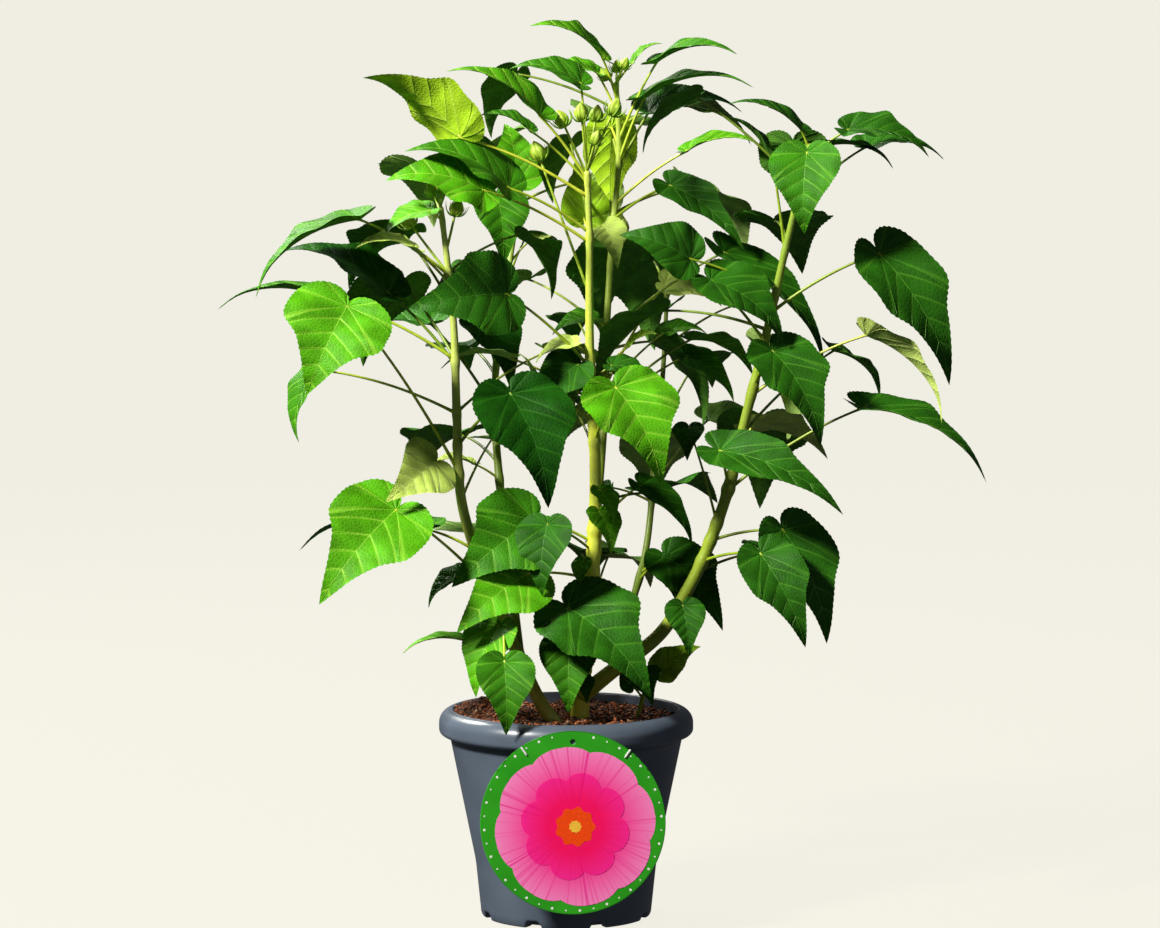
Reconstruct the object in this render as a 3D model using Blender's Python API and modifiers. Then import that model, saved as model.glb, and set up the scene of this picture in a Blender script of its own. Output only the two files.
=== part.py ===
"""A hardy hibiscus shrub in a round nursery pot, with its hanging label.

Metres, +Z up. The origin is the centre of the pot's flat underside and the label faces -Y.
Ways round the plant are degrees from +X towards +Y, so 270 is the label's side.
"""

import math

import bmesh
import bpy
import numpy as np
from mathutils import Vector

MM = 0.001
GAP = 0.3 * MM  # kept between pieces that touch

# Pot: a thin moulded wall under a wide rolled rim
POT_HEIGHT = 180 * MM
RIM_WIDTH = 220 * MM
RIM_DEPTH = 22 * MM
RIM_ROUND = 12 * MM
RIM_TUCK = 5 * MM  # the round of its lower edge
RIM_STEP = 9 * MM  # how far the rim stands out from the wall below it
KNEE_WIDTH = 157 * MM  # below its knee the wall widens less
KNEE_HEIGHT = 48 * MM
FOOT_WIDTH = 147 * MM
WALL = 2.4 * MM
FLOOR = 4 * MM
POT_STEPS = 32
DRAIN_SLOTS = 8
DRAIN_WIDE = 13 * MM
DRAIN_TALL = 7 * MM

# Compost: level round the canes, with a heap towards the rim on the left
COMPOST_TOP = 172 * MM
COMPOST_EDGE = 170 * MM
COMPOST_FLAT = 64 * MM  # radius of its level middle
COMPOST_RINGS = (22 * MM, 43 * MM, COMPOST_FLAT, 81 * MM)
HEAP_AT = (-62 * MM, -6 * MM)
HEAP_REACH = 44 * MM
HEAP_RISE = 14 * MM

# Label: a round card that hangs by two ties against the rim
LABEL_WIDTH = 156 * MM
LABEL_THICK = 1.2 * MM
LABEL_MIDDLE = (6 * MM, 99 * MM)  # across, and up from the foot
LABEL_HOLE = 4.5 * MM
LABEL_HOLE_DOWN = 9 * MM
TIE_WIDE = 1.8 * MM
TIE_LONG = 9 * MM
TIE_PLACES = ((-41 * MM, 61 * MM, -35), (46 * MM, 59 * MM, 35))  # from the middle, and lean

# Canes, in millimetres: each runs through its stops, and takes its thickness at foot and tip
CANES = {
    "centre": dict(
        stops=((11, 3, 150), (15, 2, 234), (23, -4, 304), (25, -9, 395), (21, -14, 465),
               (20, -19, 530), (20, -24, 590), (18, -30, 645)),
        thick=(15, 4.5), grows_from=None),
    "left": dict(
        stops=((4, -14, 150), (-22, -18, 188), (-36, -20, 218), (-54, -24, 262),
               (-88, -30, 357), (-93, -33, 440), (-95, -36, 510), (-106, -42, 617)),
        thick=(12, 4.5), grows_from=None),
    "right": dict(
        stops=((13, 2, 190), (39, -4, 212), (77, -12, 242), (104, -18, 284), (132, -26, 351),
               (155, -38, 443), (173, -46, 520), (188, -54, 590), (206, -62, 668)),
        thick=(12.5, 4.5), grows_from="centre"),
    "centre_back": dict(
        stops=((24, -4, 326), (28, 26, 366), (33, 54, 430), (35, 74, 495), (41, 94, 592),
               (46, 102, 650), (44, 106, 722)),
        thick=(8, 4), grows_from="centre"),
    "left_back": dict(
        stops=((-41, -21, 229), (-48, 16, 290), (-58, 50, 369), (-63, 76, 443),
               (-59, 98, 504), (-48, 118, 575), (-40, 128, 625)),
        thick=(9, 4), grows_from="left"),
    "right_back": dict(
        stops=((44, -5, 215), (55, 36, 258), (68, 70, 300), (77, 98, 365), (86, 126, 465),
               (90, 142, 540)),
        thick=(7, 3.5), grows_from="right"),
    "low_shoot": dict(
        stops=((56, 8, 150), (62, 5, 172), (67, 2, 190), (72, 2, 208)),
        thick=(5, 3), grows_from=None),
}

# Pieces of each cane, up from its foot: a bare bough first, then the leafy masses above it
PIECES = {
    "centre": (("cane_centre", 199), ("leaves_centre_low", 390), ("leaves_centre_middle", 560),
               ("leaves_centre_top", None)),
    "left": (("cane_left", 206), ("leaves_left_low", 345), ("leaves_left_middle", 500),
             ("leaves_left_top", None)),
    "right": (("cane_right", 262), ("leaves_right_low", 400), ("leaves_right_middle", 545),
              ("leaves_right_top", None)),
    "centre_back": (("cane_centre_back", 402), ("leaves_centre_back_low", 580),
                    ("leaves_centre_back_top", None)),
    "left_back": (("cane_left_back", 350), ("leaves_left_back_low", 500),
                  ("leaves_left_back_top", None)),
    "right_back": (("cane_right_back", 280), ("leaves_right_back_low", 385),
                   ("leaves_right_back_top", None)),
    "low_shoot": (("cane_low_shoot", 181), ("leaves_low_shoot", None)),
}

# Leaves that make the shrub's outline, as a grower would note them, in millimetres and degrees:
# height on the cane, way and length of the stalk, its rise, the blade's length and pitch,
# its turn from the stalk's way, how far it rolls its face towards the label's side, and its width
# as a share of the usual
LEAVES = {
    "centre": (
        (212, 250, 45, 42, 62, -72, 20, 0, 1), (213, 268, 22, -10, 26, -50, 20, 0, 1),
        (226, 250, 60, 50, 108, -40, 80, 35, 1), (292, 208, 62, 8, 84, -32, 5, 50, 1),
        (300, 240, 18, 35, 24, -75, 0, 0, 1), (316, 222, 60, 28, 62, -74, 30, 0, 1),
        (324, 197, 58, 22, 94, -34, 10, 60, 1), (334, 285, 24, 50, 40, -58, 15, 0, 1),
        (337, 15, 54, 42, 70, -46, -30, 20, 0.7), (352, 290, 22, 60, 34, -56, 20, 0, 1),
        (412, 290, 72, 44, 92, -58, 34, 28, 1.1), (430, 190, 60, 26, 34, 76, 0, 20, 1),
        (462, 350, 24, 42, 40, -22, 0, 25, 1), (470, 200, 14, 40, 58, -46, -10, 50, 1),
        (476, 202, 100, 40, 90, -6, 4, 72, 1), (484, 180, 18, 45, 38, -24, 0, 20, 1),
        (583, 184, 102, 26, 84, 8, -4, 42, 1), (588, 100, 30, 28, 54, 66, 10, 0, 1),
        (592, 197, 80, 28, 94, 22, -10, 25, 1), (622, 176, 120, 25, 98, 33, 8, -34, 0.85),
        (634, 186, 66, 42, 46, 18, 0, 15, 1), (637, 196, 68, 52, 88, 28, -16, 14, 0.9),
        (642, 165, 76, 86, 62, 14, 15, 28, 0.8),
    ),
    "left": (
        (218, 192, 50, 26, 62, -4, 0, 2, 0.7), (232, 240, 40, 40, 64, -68, -30, 25, 1),
        (262, 272, 76, -22, 62, -76, 5, 0, 1), (284, 205, 116, 40, 108, -42, 14, 45, 0.95),
        (290, 185, 26, 25, 42, -44, 0, 20, 1), (320, 172, 48, 22, 112, -8, 0, 0, 1),
        (384, 205, 26, 30, 62, -28, 20, 60, 1.1), (410, 318, 78, 38, 104, -62, -4, 20, 1),
        (388, 209, 178, 54, 84, -58, 14, 45, 1.3), (438, 188, 124, 18, 64, -72, 8, 10, 1),
        (484, 184, 116, 26, 98, -2, -2, 2, 0.6), (480, 164, 84, 45, 104, 22, 8, 15, 0.85),
        (548, 205, 46, 42, 52, 4, 0, 15, 1), (556, 190, 90, 32, 110, -34, 0, 2, 0.8),
        (602, 192, 14, 40, 48, -28, 0, 20, 1),
    ),
    "right": (
        (268, 290, 14, 20, 44, -70, 0, 10, 1), (310, 316, 68, 10, 88, -60, 14, 45, 0.75),
        (328, 346, 64, 10, 104, -66, -8, 42, 0.75), (343, 205, 88, 72, 34, -50, 60, 0, 1),
        (372, 350, 136, 32, 122, -28, 0, 10, 0.62), (374, 258, 58, 38, 118, -24, 86, 42, 0.5),
        (384, 58, 52, 50, 76, -20, -40, -20, 1), (462, 292, 50, 40, 92, -56, 30, 25, 0.85),
        (454, 346, 112, 28, 98, -46, 0, -18, 0.9), (500, 205, 74, 46, 82, -38, 140, 30, 1),
        (525, 350, 104, 29, 126, -60, 0, 52, 0.65), (538, 192, 80, 24, 64, 20, -8, 60, 1),
        (576, 186, 70, 82, 64, 48, 0, 10, 1), (648, 20, 30, 38, 58, -18, -10, 0, 0.8),
        (652, 352, 44, 38, 72, -16, 0, 20, 1), (662, 184, 18, 68, 66, 22, 0, 16, 0.65),
        (664, 262, 26, -8, 68, -78, -6, 0, 1.1),
    ),
    "centre_back": (
        (430, 350, 90, 36, 58, -42, 0, 30, 0.75), (450, 10, 75, 44, 38, -2, 0, 20, 1),
        (454, 20, 106, 58, 54, -20, -20, 35, 1), (470, 330, 32, 40, 30, 24, 0, 30, 1),
        (496, 346, 130, 36, 134, -46, 0, 20, 0.48), (504, 200, 14, 40, 42, -16, 0, 20, 1),
        (560, 90, 26, 60, 46, 60, 0, -20, 1), (590, 235, 16, 20, 48, -50, 60, 10, 0.9),
        (600, 330, 64, 28, 92, -36, 0, 38, 0.5), (613, 348, 80, 36, 66, 6, 0, 15, 0.7),
        (640, 28, 62, 60, 88, 2, -12, 18, 0.85), (650, 350, 60, 68, 98, 8, 0, 8, 0.6),
        (662, 115, 24, 50, 84, -80, -22, 0, 0.7), (669, 342, 76, 63, 74, 8, 0, 12, 0.9),
        (690, 188, 42, 64, 46, 4, 0, 18, 1), (704, 228, 42, 62, 74, 24, -24, 24, 0.8),
        (719, 10, 24, 50, 30, 36, -14, 15, 1),
    ),
    "left_back": (
        (374, 205, 30, 30, 38, 2, 0, 10, 1), (424, 300, 36, 30, 46, 30, 0, 20, 1),
        (470, 240, 50, 60, 70, -56, 75, 10, 1), (520, 235, 44, 52, 54, -24, -30, 20, 1),
        (560, 40, 30, 40, 34, 0, 0, 10, 1), (598, 252, 58, 24, 64, -72, 36, 0, 1),
        (622, 110, 14, 40, 62, 60, 0, 0, 1),
    ),
    "right_back": (
        (284, 320, 28, 40, 40, -56, 0, 20, 1), (290, 330, 30, 34, 84, -46, 0, 32, 0.85),
        (350, 190, 40, 20, 40, -66, 0, 10, 1),
    ),
    "low_shoot": (
        (198, 255, 20, 44, 40, -34, 30, 20, 1), (188, 140, 14, 40, 32, 66, 0, 30, 1),
        (202, 20, 14, 30, 44, 32, 0, 35, 1),
    ),
}

# Flower buds: height on the cane, way and length of the stalk, its rise, and the bud's length
BUDS = {
    "centre": ((539, 180, 122, 70, 19), (640, 150, 48, 62, 17), (643, 250, 46, 74, 17),
               (643, 60, 46, 72, 16), (644, 10, 52, 66, 17), (645, 300, 26, 60, 14)),
    "left": ((556, 180, 52, 53, 17), (576, 345, 32, 76, 17), (614, 200, 12, 60, 13),
             (615, 80, 12, 70, 13), (616, 320, 12, 62, 12)),
    "centre_back": ((714, 200, 12, 50, 13), (718, 90, 12, 72, 12), (720, 320, 14, 60, 12)),
}

# Leaves of the unseen side, grown by rule
SEED = 41
NODE_SPACING = 15  # millimetres of cane between two leaves
FORK_CLEAR = 22  # millimetres of cane on each side of a fork that bear no leaf of the rule
JOINT_CLEAR = 12  # and on each side of a joint between two masses
NODE_TURN = 137.5  # degrees round the cane from one leaf to the next
REAR_ARC = (12, 168)  # ways in which the rule grows a leaf
STALK_RANGE = (48, 125)
BLADE_RANGE = (60, 104)
RISE_RANGE = (4, 46)
PITCH_RANGE = (-66, -6)
TRIES = 6  # leaves drawn at a node before it stays bare
HIDDEN_SHARE = 0.74  # of such a leaf that must lie behind others, seen from the label's side
HIDDEN_CELL = 13 * MM
EYE_HEIGHT = 700 * MM  # of that view
EYE_AWAY = 3500 * MM

# Leaf blade: its outline is a distance from the stalk's end, in blade lengths, for each angle
# from its tip round to the notch at its heart-shaped foot
OUTLINE_ANGLES = (0, 9, 20, 36, 56, 84, 114, 142, 164, 180)
OUTLINE_REACH = (1.0, 0.78, 0.635, 0.55, 0.49, 0.41, 0.29, 0.195, 0.115, 0.05)
LOBE_ANGLE = 47
LOBE_WIDTH = 12
LOBE_REACH = 0.05
LOBED_FROM = 72  # millimetres: shorter blades have no side lobes
BLADE_ARCH = 0.13  # rise of the midrib above a straight line, in blade lengths
BLADE_FOLD = 14  # degrees that each half stands above flat
BLADE_THICK = 0.022  # in blade lengths, at the midrib
CORNERS = (18, 47, 84, 128, 163)  # angles of the solid's outline corners on each half
RIBS = (0.34, 0.68)  # places along the midrib where the solid bends
STALK_THICK = 3.4 * MM
STALK_BOW = 0.05
BUD_STALK = (1.4 * MM, 1.2 * MM)  # radii at its foot and end
STALK_SUNK = 0.06  # how far a stalk runs into its blade, in blade lengths
CLEAR = 6 * MM  # between leaves of two masses
CANE_CLEAR = 3 * MM  # between a leaf and another piece's cane
NUDGES = (0, 10, -10, 20, -20, 32, -32)  # degrees that a leaf's stalk may turn to get clear

PLANT = bpy.data.collections.new("hibiscus_shrub")
CUTTERS = bpy.data.collections.new("cutters")


def clear_scene():
    for obj in list(bpy.data.objects):
        bpy.data.objects.remove(obj)
    for collection in (PLANT, CUTTERS):
        bpy.context.scene.collection.children.link(collection)
    CUTTERS.hide_render = True


def material(name, colour, roughness):
    made = bpy.data.materials.new(name)
    made.use_nodes = True
    shader = made.node_tree.nodes["Principled BSDF"]
    shader.inputs["Base Color"].default_value = (*colour, 1)
    shader.inputs["Roughness"].default_value = roughness
    return made


def add_object(name, mesh, collection, finish=None):
    made = bpy.data.objects.new(name, mesh)
    collection.objects.link(made)
    if collection is CUTTERS:
        made.hide_render = True
        made.display_type = "WIRE"
    if finish:
        made.data.materials.append(finish)
    return made


# ---- pot, compost and label ----


def arc(middle, radius, start, end, steps):
    """Points (r, z) of an arc in the profile plane, from one angle in degrees to another."""
    turns = np.radians(np.linspace(start, end, steps))
    return [(middle[0] + radius * math.cos(a), middle[1] + radius * math.sin(a)) for a in turns]


def wall_radius(height):
    """Outer radius of the pot's wall, which widens more above its knee than below it."""
    heights = (0, KNEE_HEIGHT, POT_HEIGHT - RIM_DEPTH)
    return np.interp(height, heights, (FOOT_WIDTH / 2, KNEE_WIDTH / 2, RIM_WIDTH / 2 - RIM_STEP))


def heap(x, y):
    """How far the compost is heaped above its level at a place."""
    away = np.hypot(x - HEAP_AT[0], y - HEAP_AT[1]) / HEAP_REACH
    return HEAP_RISE * np.clip(1 - away ** 2, 0, 1) ** 2


def turned(name, profile, collection, finish):
    """A profile at +X turned about Z."""
    mesh = bpy.data.meshes.new(name)
    edges = [(i, i + 1) for i in range(len(profile) - 1)]
    mesh.from_pydata([(r, 0, z) for r, z in profile], edges, [])
    made = add_object(name, mesh, collection, finish)
    screw = made.modifiers.new("Turn", "SCREW")
    screw.steps = POT_STEPS
    screw.render_steps = POT_STEPS
    screw.use_merge_vertices = True
    screw.merge_threshold = 0.00001
    screw.use_smooth_shade = True
    return made


def cut(obj, cutter):
    boolean = obj.modifiers.new("Cut", "BOOLEAN")
    boolean.operation = "DIFFERENCE"
    boolean.solver = "EXACT"
    boolean.object = cutter


def box_cutter(name, size, place, way):
    mesh = bpy.data.meshes.new(name)
    bm = bmesh.new()
    bmesh.ops.create_cube(bm, size=1)
    bmesh.ops.scale(bm, vec=size, verts=bm.verts)
    bm.to_mesh(mesh)
    bm.free()
    made = add_object(name, mesh, CUTTERS)
    made.location = place
    made.rotation_euler = (0, 0, way)
    return made


def build_pot():
    rim = RIM_WIDTH / 2
    top = POT_HEIGHT
    shoulder = top - RIM_DEPTH
    profile = [
        (0, FLOOR),
        (wall_radius(FLOOR) - WALL - 2 * MM, FLOOR),
        (wall_radius(FLOOR) - WALL, FLOOR + 3 * MM),
        (wall_radius(KNEE_HEIGHT) - WALL, KNEE_HEIGHT),
        (wall_radius(shoulder) - WALL, shoulder),
        (rim - RIM_ROUND - 1 * MM, top),
        *arc((rim - RIM_ROUND, top - RIM_ROUND), RIM_ROUND, 90, 0, 5),
        *arc((rim - RIM_TUCK, shoulder + RIM_TUCK), RIM_TUCK, 0, -90, 3),
        (wall_radius(shoulder), shoulder + 1 * MM),
        (wall_radius(KNEE_HEIGHT), KNEE_HEIGHT),
        (wall_radius(0), 1.5 * MM),
        (wall_radius(0) - 1.5 * MM, 0),
        (0, 0),
    ]
    pot = turned("pot", profile, PLANT, material("pot_plastic", (0.06, 0.08, 0.10), 0.4))
    for number in range(DRAIN_SLOTS):
        way = 2 * math.pi * (number + 0.5) / DRAIN_SLOTS
        radius = FOOT_WIDTH / 2
        place = (radius * math.cos(way), radius * math.sin(way), DRAIN_TALL / 2 - 1 * MM)
        size = (5 * WALL, DRAIN_WIDE, DRAIN_TALL)
        cut(pot, box_cutter(f"drain_cutter_{number}", size, place, way))
    return pot


def build_compost():
    inner = RIM_WIDTH / 2 - RIM_ROUND - 2 * MM
    floor = FLOOR + GAP
    rings = [(radius, COMPOST_TOP) for radius in COMPOST_RINGS]
    rings += [
        (inner - 1 * MM, COMPOST_EDGE),
        (inner, COMPOST_EDGE - 6 * MM),
        (inner, POT_HEIGHT - RIM_DEPTH - 6 * MM),
        (wall_radius(KNEE_HEIGHT) - WALL - 1 * MM, KNEE_HEIGHT),
        (wall_radius(floor) - WALL - 4 * MM, floor + 3 * MM),
        (wall_radius(floor) - WALL - 8 * MM, floor),
    ]
    bm = bmesh.new()
    rows = []
    for number, (radius, height) in enumerate(rings):
        row = []
        for step in range(POT_STEPS):
            way = 2 * math.pi * step / POT_STEPS
            x = radius * math.cos(way)
            y = radius * math.sin(way)
            raised = heap(x, y) if number <= len(COMPOST_RINGS) else 0
            row.append(bm.verts.new((x, y, height + raised)))
        rows.append(row)
    hub = bm.verts.new((0, 0, COMPOST_TOP))
    base = bm.verts.new((0, 0, floor))
    for step in range(POT_STEPS):
        after = (step + 1) % POT_STEPS
        bm.faces.new((hub, rows[0][step], rows[0][after]))
        bm.faces.new((base, rows[-1][after], rows[-1][step]))
        for upper, lower in zip(rows, rows[1:]):
            bm.faces.new((upper[step], lower[step], lower[after]))
            bm.faces.new((upper[step], lower[after], upper[after]))
    mesh = bpy.data.meshes.new("compost")
    bm.to_mesh(mesh)
    bm.free()
    return add_object("compost", mesh, PLANT, material("compost", (0.16, 0.06, 0.03), 0.95))


def disc(name, width, thick, sides, collection, finish=None):
    """A flat round piece whose axis is Y, centred on its own origin."""
    mesh = bpy.data.meshes.new(name)
    bm = bmesh.new()
    bmesh.ops.create_cone(bm, cap_ends=True, segments=sides, radius1=width / 2,
                          radius2=width / 2, depth=thick)
    bmesh.ops.rotate(bm, verts=bm.verts, matrix=quarter_turn())
    bm.to_mesh(mesh)
    bm.free()
    return add_object(name, mesh, collection, finish)


def quarter_turn():
    """Turns Z onto Y."""
    return Vector((0, 0, 1)).rotation_difference(Vector((0, 1, 0))).to_matrix()


def build_label():
    front = -(RIM_WIDTH / 2 + GAP + LABEL_THICK / 2)
    across, up = LABEL_MIDDLE
    label = disc("label", LABEL_WIDTH, LABEL_THICK, 40, PLANT,
                 material("label_card", (0.10, 0.42, 0.04), 0.35))
    label.location = (across, front, up)
    hole = disc("label_hole_cutter", LABEL_HOLE, 6 * LABEL_THICK, 8, CUTTERS)
    hole.location = (across, front, up + LABEL_WIDTH / 2 - LABEL_HOLE_DOWN)
    cut(label, hole)
    finish = material("label_tie", (0.8, 0.8, 0.76), 0.4)
    for side, (right, above, lean) in zip(("left", "right"), TIE_PLACES):
        mesh = bpy.data.meshes.new(f"label_tie_{side}")
        bm = bmesh.new()
        bmesh.ops.create_cube(bm, size=1)
        bmesh.ops.scale(bm, vec=(TIE_WIDE, TIE_WIDE / 2, TIE_LONG), verts=bm.verts)
        bm.to_mesh(mesh)
        bm.free()
        tie = add_object(mesh.name, mesh, PLANT, finish)
        before_card = front - LABEL_THICK / 2 - GAP - TIE_WIDE / 4
        tie.location = (across + right, before_card, up + above)
        tie.rotation_euler = (0, math.radians(lean), 0)


# ---- canes ----


def through(stops, values, at):
    """Cubic curve through the stops, its slope at each one taken from its neighbours."""
    slopes = np.gradient(values, stops, axis=0)
    i = np.clip(np.searchsorted(stops, at) - 1, 0, len(stops) - 2)
    span = stops[i + 1] - stops[i]
    t = (at - stops[i]) / span
    return (values[i] * (1 + 2 * t) * (1 - t) ** 2 + slopes[i] * span * t * (1 - t) ** 2
            + values[i + 1] * t * t * (3 - 2 * t) + slopes[i + 1] * span * t * t * (t - 1))


def cane_point(cane, height):
    """The middle of a cane at a height in millimetres."""
    stops = np.array(CANES[cane]["stops"], float)
    return np.append(through(stops[:, 2], stops[:, :2], height), height) * MM


def cane_radius(cane, height):
    """A cane tapers evenly from foot to tip, with a slight swelling at its foot."""
    foot, tip = CANES[cane]["thick"]
    low, high = CANES[cane]["stops"][0][2], CANES[cane]["stops"][-1][2]
    share = (height - low) / (high - low)
    swelling = 1 + 0.18 * max(0, 1 - share / 0.1)
    return (foot + (tip - foot) * share) * swelling * MM / 2


def cane_stretch(cane, low, high):
    """Middles and radii of a cane between two heights."""
    between = np.linspace(low, high, max(3, round((high - low) / 24) + 1))
    heights = np.insert(between, [1, len(between) - 1], [low + 1.5, high - 1.5])
    return [cane_point(cane, h) for h in heights], [cane_radius(cane, h) for h in heights]


def cane_skin(cane, low, high):
    """Points spread over a cane's surface between two heights."""
    ways = np.radians(np.arange(0, 360, 45))
    ring = np.stack((np.cos(ways), np.sin(ways), 0 * ways), axis=1)
    heights = np.arange(low, high + 4, 4)
    return np.vstack([cane_point(cane, h) + cane_radius(cane, h) * ring for h in heights])


def limb(name, points, radii, sides, collection):
    """A tapering round limb: a bevelled curve made a closed mesh."""
    curve = bpy.data.curves.new(name, "CURVE")
    curve.dimensions = "3D"
    curve.bevel_depth = 1
    curve.bevel_resolution = (sides - 4) // 2
    curve.use_fill_caps = True
    spline = curve.splines.new("POLY")
    spline.points.add(len(points) - 1)
    for point, place, radius in zip(spline.points, points, radii):
        point.co = (*place, 1)
        point.radius = radius
    drawn = bpy.data.objects.new(name, curve)
    collection.objects.link(drawn)
    evaluated = drawn.evaluated_get(bpy.context.evaluated_depsgraph_get())
    mesh = bpy.data.meshes.new_from_object(evaluated)
    bpy.data.objects.remove(drawn)
    bm = bmesh.new()
    bm.from_mesh(mesh)
    bmesh.ops.remove_doubles(bm, verts=bm.verts, dist=0.00001)
    bmesh.ops.recalc_face_normals(bm, faces=bm.faces)
    bm.to_mesh(mesh)
    bm.free()
    mesh.name = name
    return add_object(name, mesh, collection)


def stalk_mesh(name, points, radii):
    """A thin three-sided limb: a ring at each point, square to its run, closed at both ends."""
    run = np.asarray(points[-1]) - points[0]
    side = np.cross(run, (0, 0, 1.0))
    side /= np.linalg.norm(side)
    other = np.cross(side, run / np.linalg.norm(run))
    bm = bmesh.new()
    rings = []
    for point, radius in zip(points, radii):
        ways = [side * math.cos(a) + other * math.sin(a) for a in (0, math.tau / 3, -math.tau / 3)]
        rings.append([bm.verts.new(point + radius * way) for way in ways])
    for lower, upper in zip(rings, rings[1:]):
        for i in range(3):
            bm.faces.new((lower[i], lower[i - 1], upper[i - 1]))
            bm.faces.new((lower[i], upper[i - 1], upper[i]))
    bm.faces.new(rings[0])
    bm.faces.new(rings[-1])
    bmesh.ops.recalc_face_normals(bm, faces=bm.faces)
    mesh = bpy.data.meshes.new(name)
    bm.to_mesh(mesh)
    bm.free()
    return mesh


def piece_spans(cane):
    """(name, low, high) of each piece of a cane, with the gap between two of them."""
    low = CANES[cane]["stops"][0][2]
    spans = []
    for name, top in PIECES[cane]:
        high = top or CANES[cane]["stops"][-1][2]
        spans.append((name, low, high))
        low = high + 2 * GAP / MM
    return spans


# ---- leaves and buds ----


def heading(way, rise):
    way, rise = math.radians(way), math.radians(rise)
    flat = math.cos(rise)
    return np.array((flat * math.cos(way), flat * math.sin(way), math.sin(rise)))


def outline_reach(angles, lobed):
    """Distance of the blade's edge from the stalk's end, by angle from the tip in degrees."""
    angles = np.abs(angles)
    reach = through(np.array(OUTLINE_ANGLES, float), np.array(OUTLINE_REACH), angles)
    return reach + lobed * LOBE_REACH * np.exp(-(((angles - LOBE_ANGLE) / LOBE_WIDTH) ** 2))


class Leaf:
    """One leaf: its stalk's foot and end, and the directions that carry its blade."""

    def __init__(self, cane, row, nudge=0):
        height, way, stalk, rise, blade, pitch, turn, roll, wide = row
        way = way + nudge
        self.foot = cane_point(cane, height)
        self.end = self.foot + stalk * MM * heading(way, rise)
        self.length = blade * MM
        self.lobed = blade >= LOBED_FROM
        self.wide = wide
        self.ahead = heading(way + turn, pitch)
        flat = math.radians(way + turn)
        side = np.array((math.sin(flat), -math.cos(flat), 0.0))
        face = np.cross(side, self.ahead)
        roll = math.radians(roll if math.cos(flat) >= 0 else -roll)
        self.side = side * math.cos(roll) + np.cross(self.ahead, side) * math.sin(roll)
        self.face = face * math.cos(roll) + np.cross(self.ahead, face) * math.sin(roll)

    def surface(self, share, angles):
        """Points of the blade at a share of the way out to its edge, arched and folded."""
        reach = share * outline_reach(angles, self.lobed)
        along = reach * np.cos(np.radians(angles))
        across = self.wide * reach * np.sin(np.radians(angles))
        fold = math.radians(BLADE_FOLD)
        arch = BLADE_ARCH * 4 * np.clip(along, 0, 1) * (1 - np.clip(along, 0, 1))
        lift = arch + np.abs(across) * math.sin(fold)
        flat = (along[:, None] * self.ahead + across[:, None] * math.cos(fold) * self.side
                + lift[:, None] * self.face)
        return self.end + self.length * flat

    def stalk(self, count):
        """Points of the stalk, bowed upwards a little, from its foot to its end."""
        t = np.linspace(0, 1, count)[:, None]
        bow = STALK_BOW * np.linalg.norm(self.end - self.foot) * 4 * t * (1 - t)
        return self.foot + (self.end - self.foot) * t + bow * np.array((0, 0, 1.0))

    def samples(self):
        """Points spread over blade and stalk, which stand for it when clearances are judged."""
        angles, shares = np.meshgrid(np.arange(-180, 180, 7.5), np.linspace(0.12, 1, 9))
        away = self.stalk(17)[3:]
        return np.vstack((self.surface(shares.ravel(), angles.ravel()), away))


def blade_mesh(name, leaf):
    """The blade as a thin closed solid: two folded sides that meet in a sharp edge."""
    angles = np.array([*(-a for a in reversed(CORNERS)), 0, *CORNERS], float)
    edge = leaf.surface(np.ones(len(angles)), angles)
    spine = leaf.surface(np.array((0.0, *RIBS)), np.zeros(1 + len(RIBS)))
    half_thick = leaf.face * leaf.length * BLADE_THICK / 2
    bm = bmesh.new()
    rim = [bm.verts.new(p) for p in edge]
    tip = rim[len(CORNERS)]
    for way in (1, -1):
        middle = [bm.verts.new(p + way * half_thick) for p in spine]
        for side in (rim[len(CORNERS) + 1:], rim[len(CORNERS) - 1::-1]):
            ahead, shoulder, waist, heel, notch = side
            fan = ((middle[0], notch, heel), (middle[0], heel, waist), (middle[0], waist, middle[1]),
                   (middle[1], waist, shoulder), (middle[1], shoulder, middle[2]),
                   (middle[2], shoulder, ahead), (middle[2], ahead, tip))
            for corners in fan:
                bm.faces.new(corners)
        # across the notch
        bm.faces.new((middle[0], rim[0], rim[-1]))
    bmesh.ops.recalc_face_normals(bm, faces=bm.faces)
    mesh = bpy.data.meshes.new(name)
    bm.to_mesh(mesh)
    bm.free()
    return mesh


def bud_mesh(name, bud):
    """An egg along its stalk."""
    bm = bmesh.new()
    bmesh.ops.create_uvsphere(bm, u_segments=5, v_segments=4, radius=bud.length / 2)
    for vert in bm.verts:
        vert.co.x *= 0.72
        vert.co.y *= 0.72
    turn = Vector((0, 0, 1)).rotation_difference(Vector(bud.ahead)).to_matrix()
    bmesh.ops.rotate(bm, verts=bm.verts, matrix=turn)
    middle = bud.end + bud.ahead * bud.length * 0.4
    bmesh.ops.translate(bm, verts=bm.verts, vec=Vector(middle))
    mesh = bpy.data.meshes.new(name)
    bm.to_mesh(mesh)
    bm.free()
    return mesh


class Bud:
    """A flower bud on its stalk."""

    def __init__(self, cane, row):
        height, way, stalk, rise, size = row
        self.ahead = heading(way, rise)
        self.foot = cane_point(cane, height)
        self.end = self.foot + self.ahead * stalk * MM
        self.length = size * MM

    def samples(self):
        t = np.linspace(0.2, 1, 9)[:, None]
        round_it = np.array([heading(way, rise) for way in range(0, 360, 60)
                             for rise in (-60, 0, 60)])
        middle = self.end + self.ahead * self.length * 0.4
        return np.vstack((self.foot + (self.end - self.foot) * t,
                          middle + round_it * self.length * 0.45))


def piece_at(cane, height):
    for name, low, high in piece_spans(cane):
        if low <= height <= high:
            return name
    raise ValueError(f"{cane} has no piece at {height}")


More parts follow.
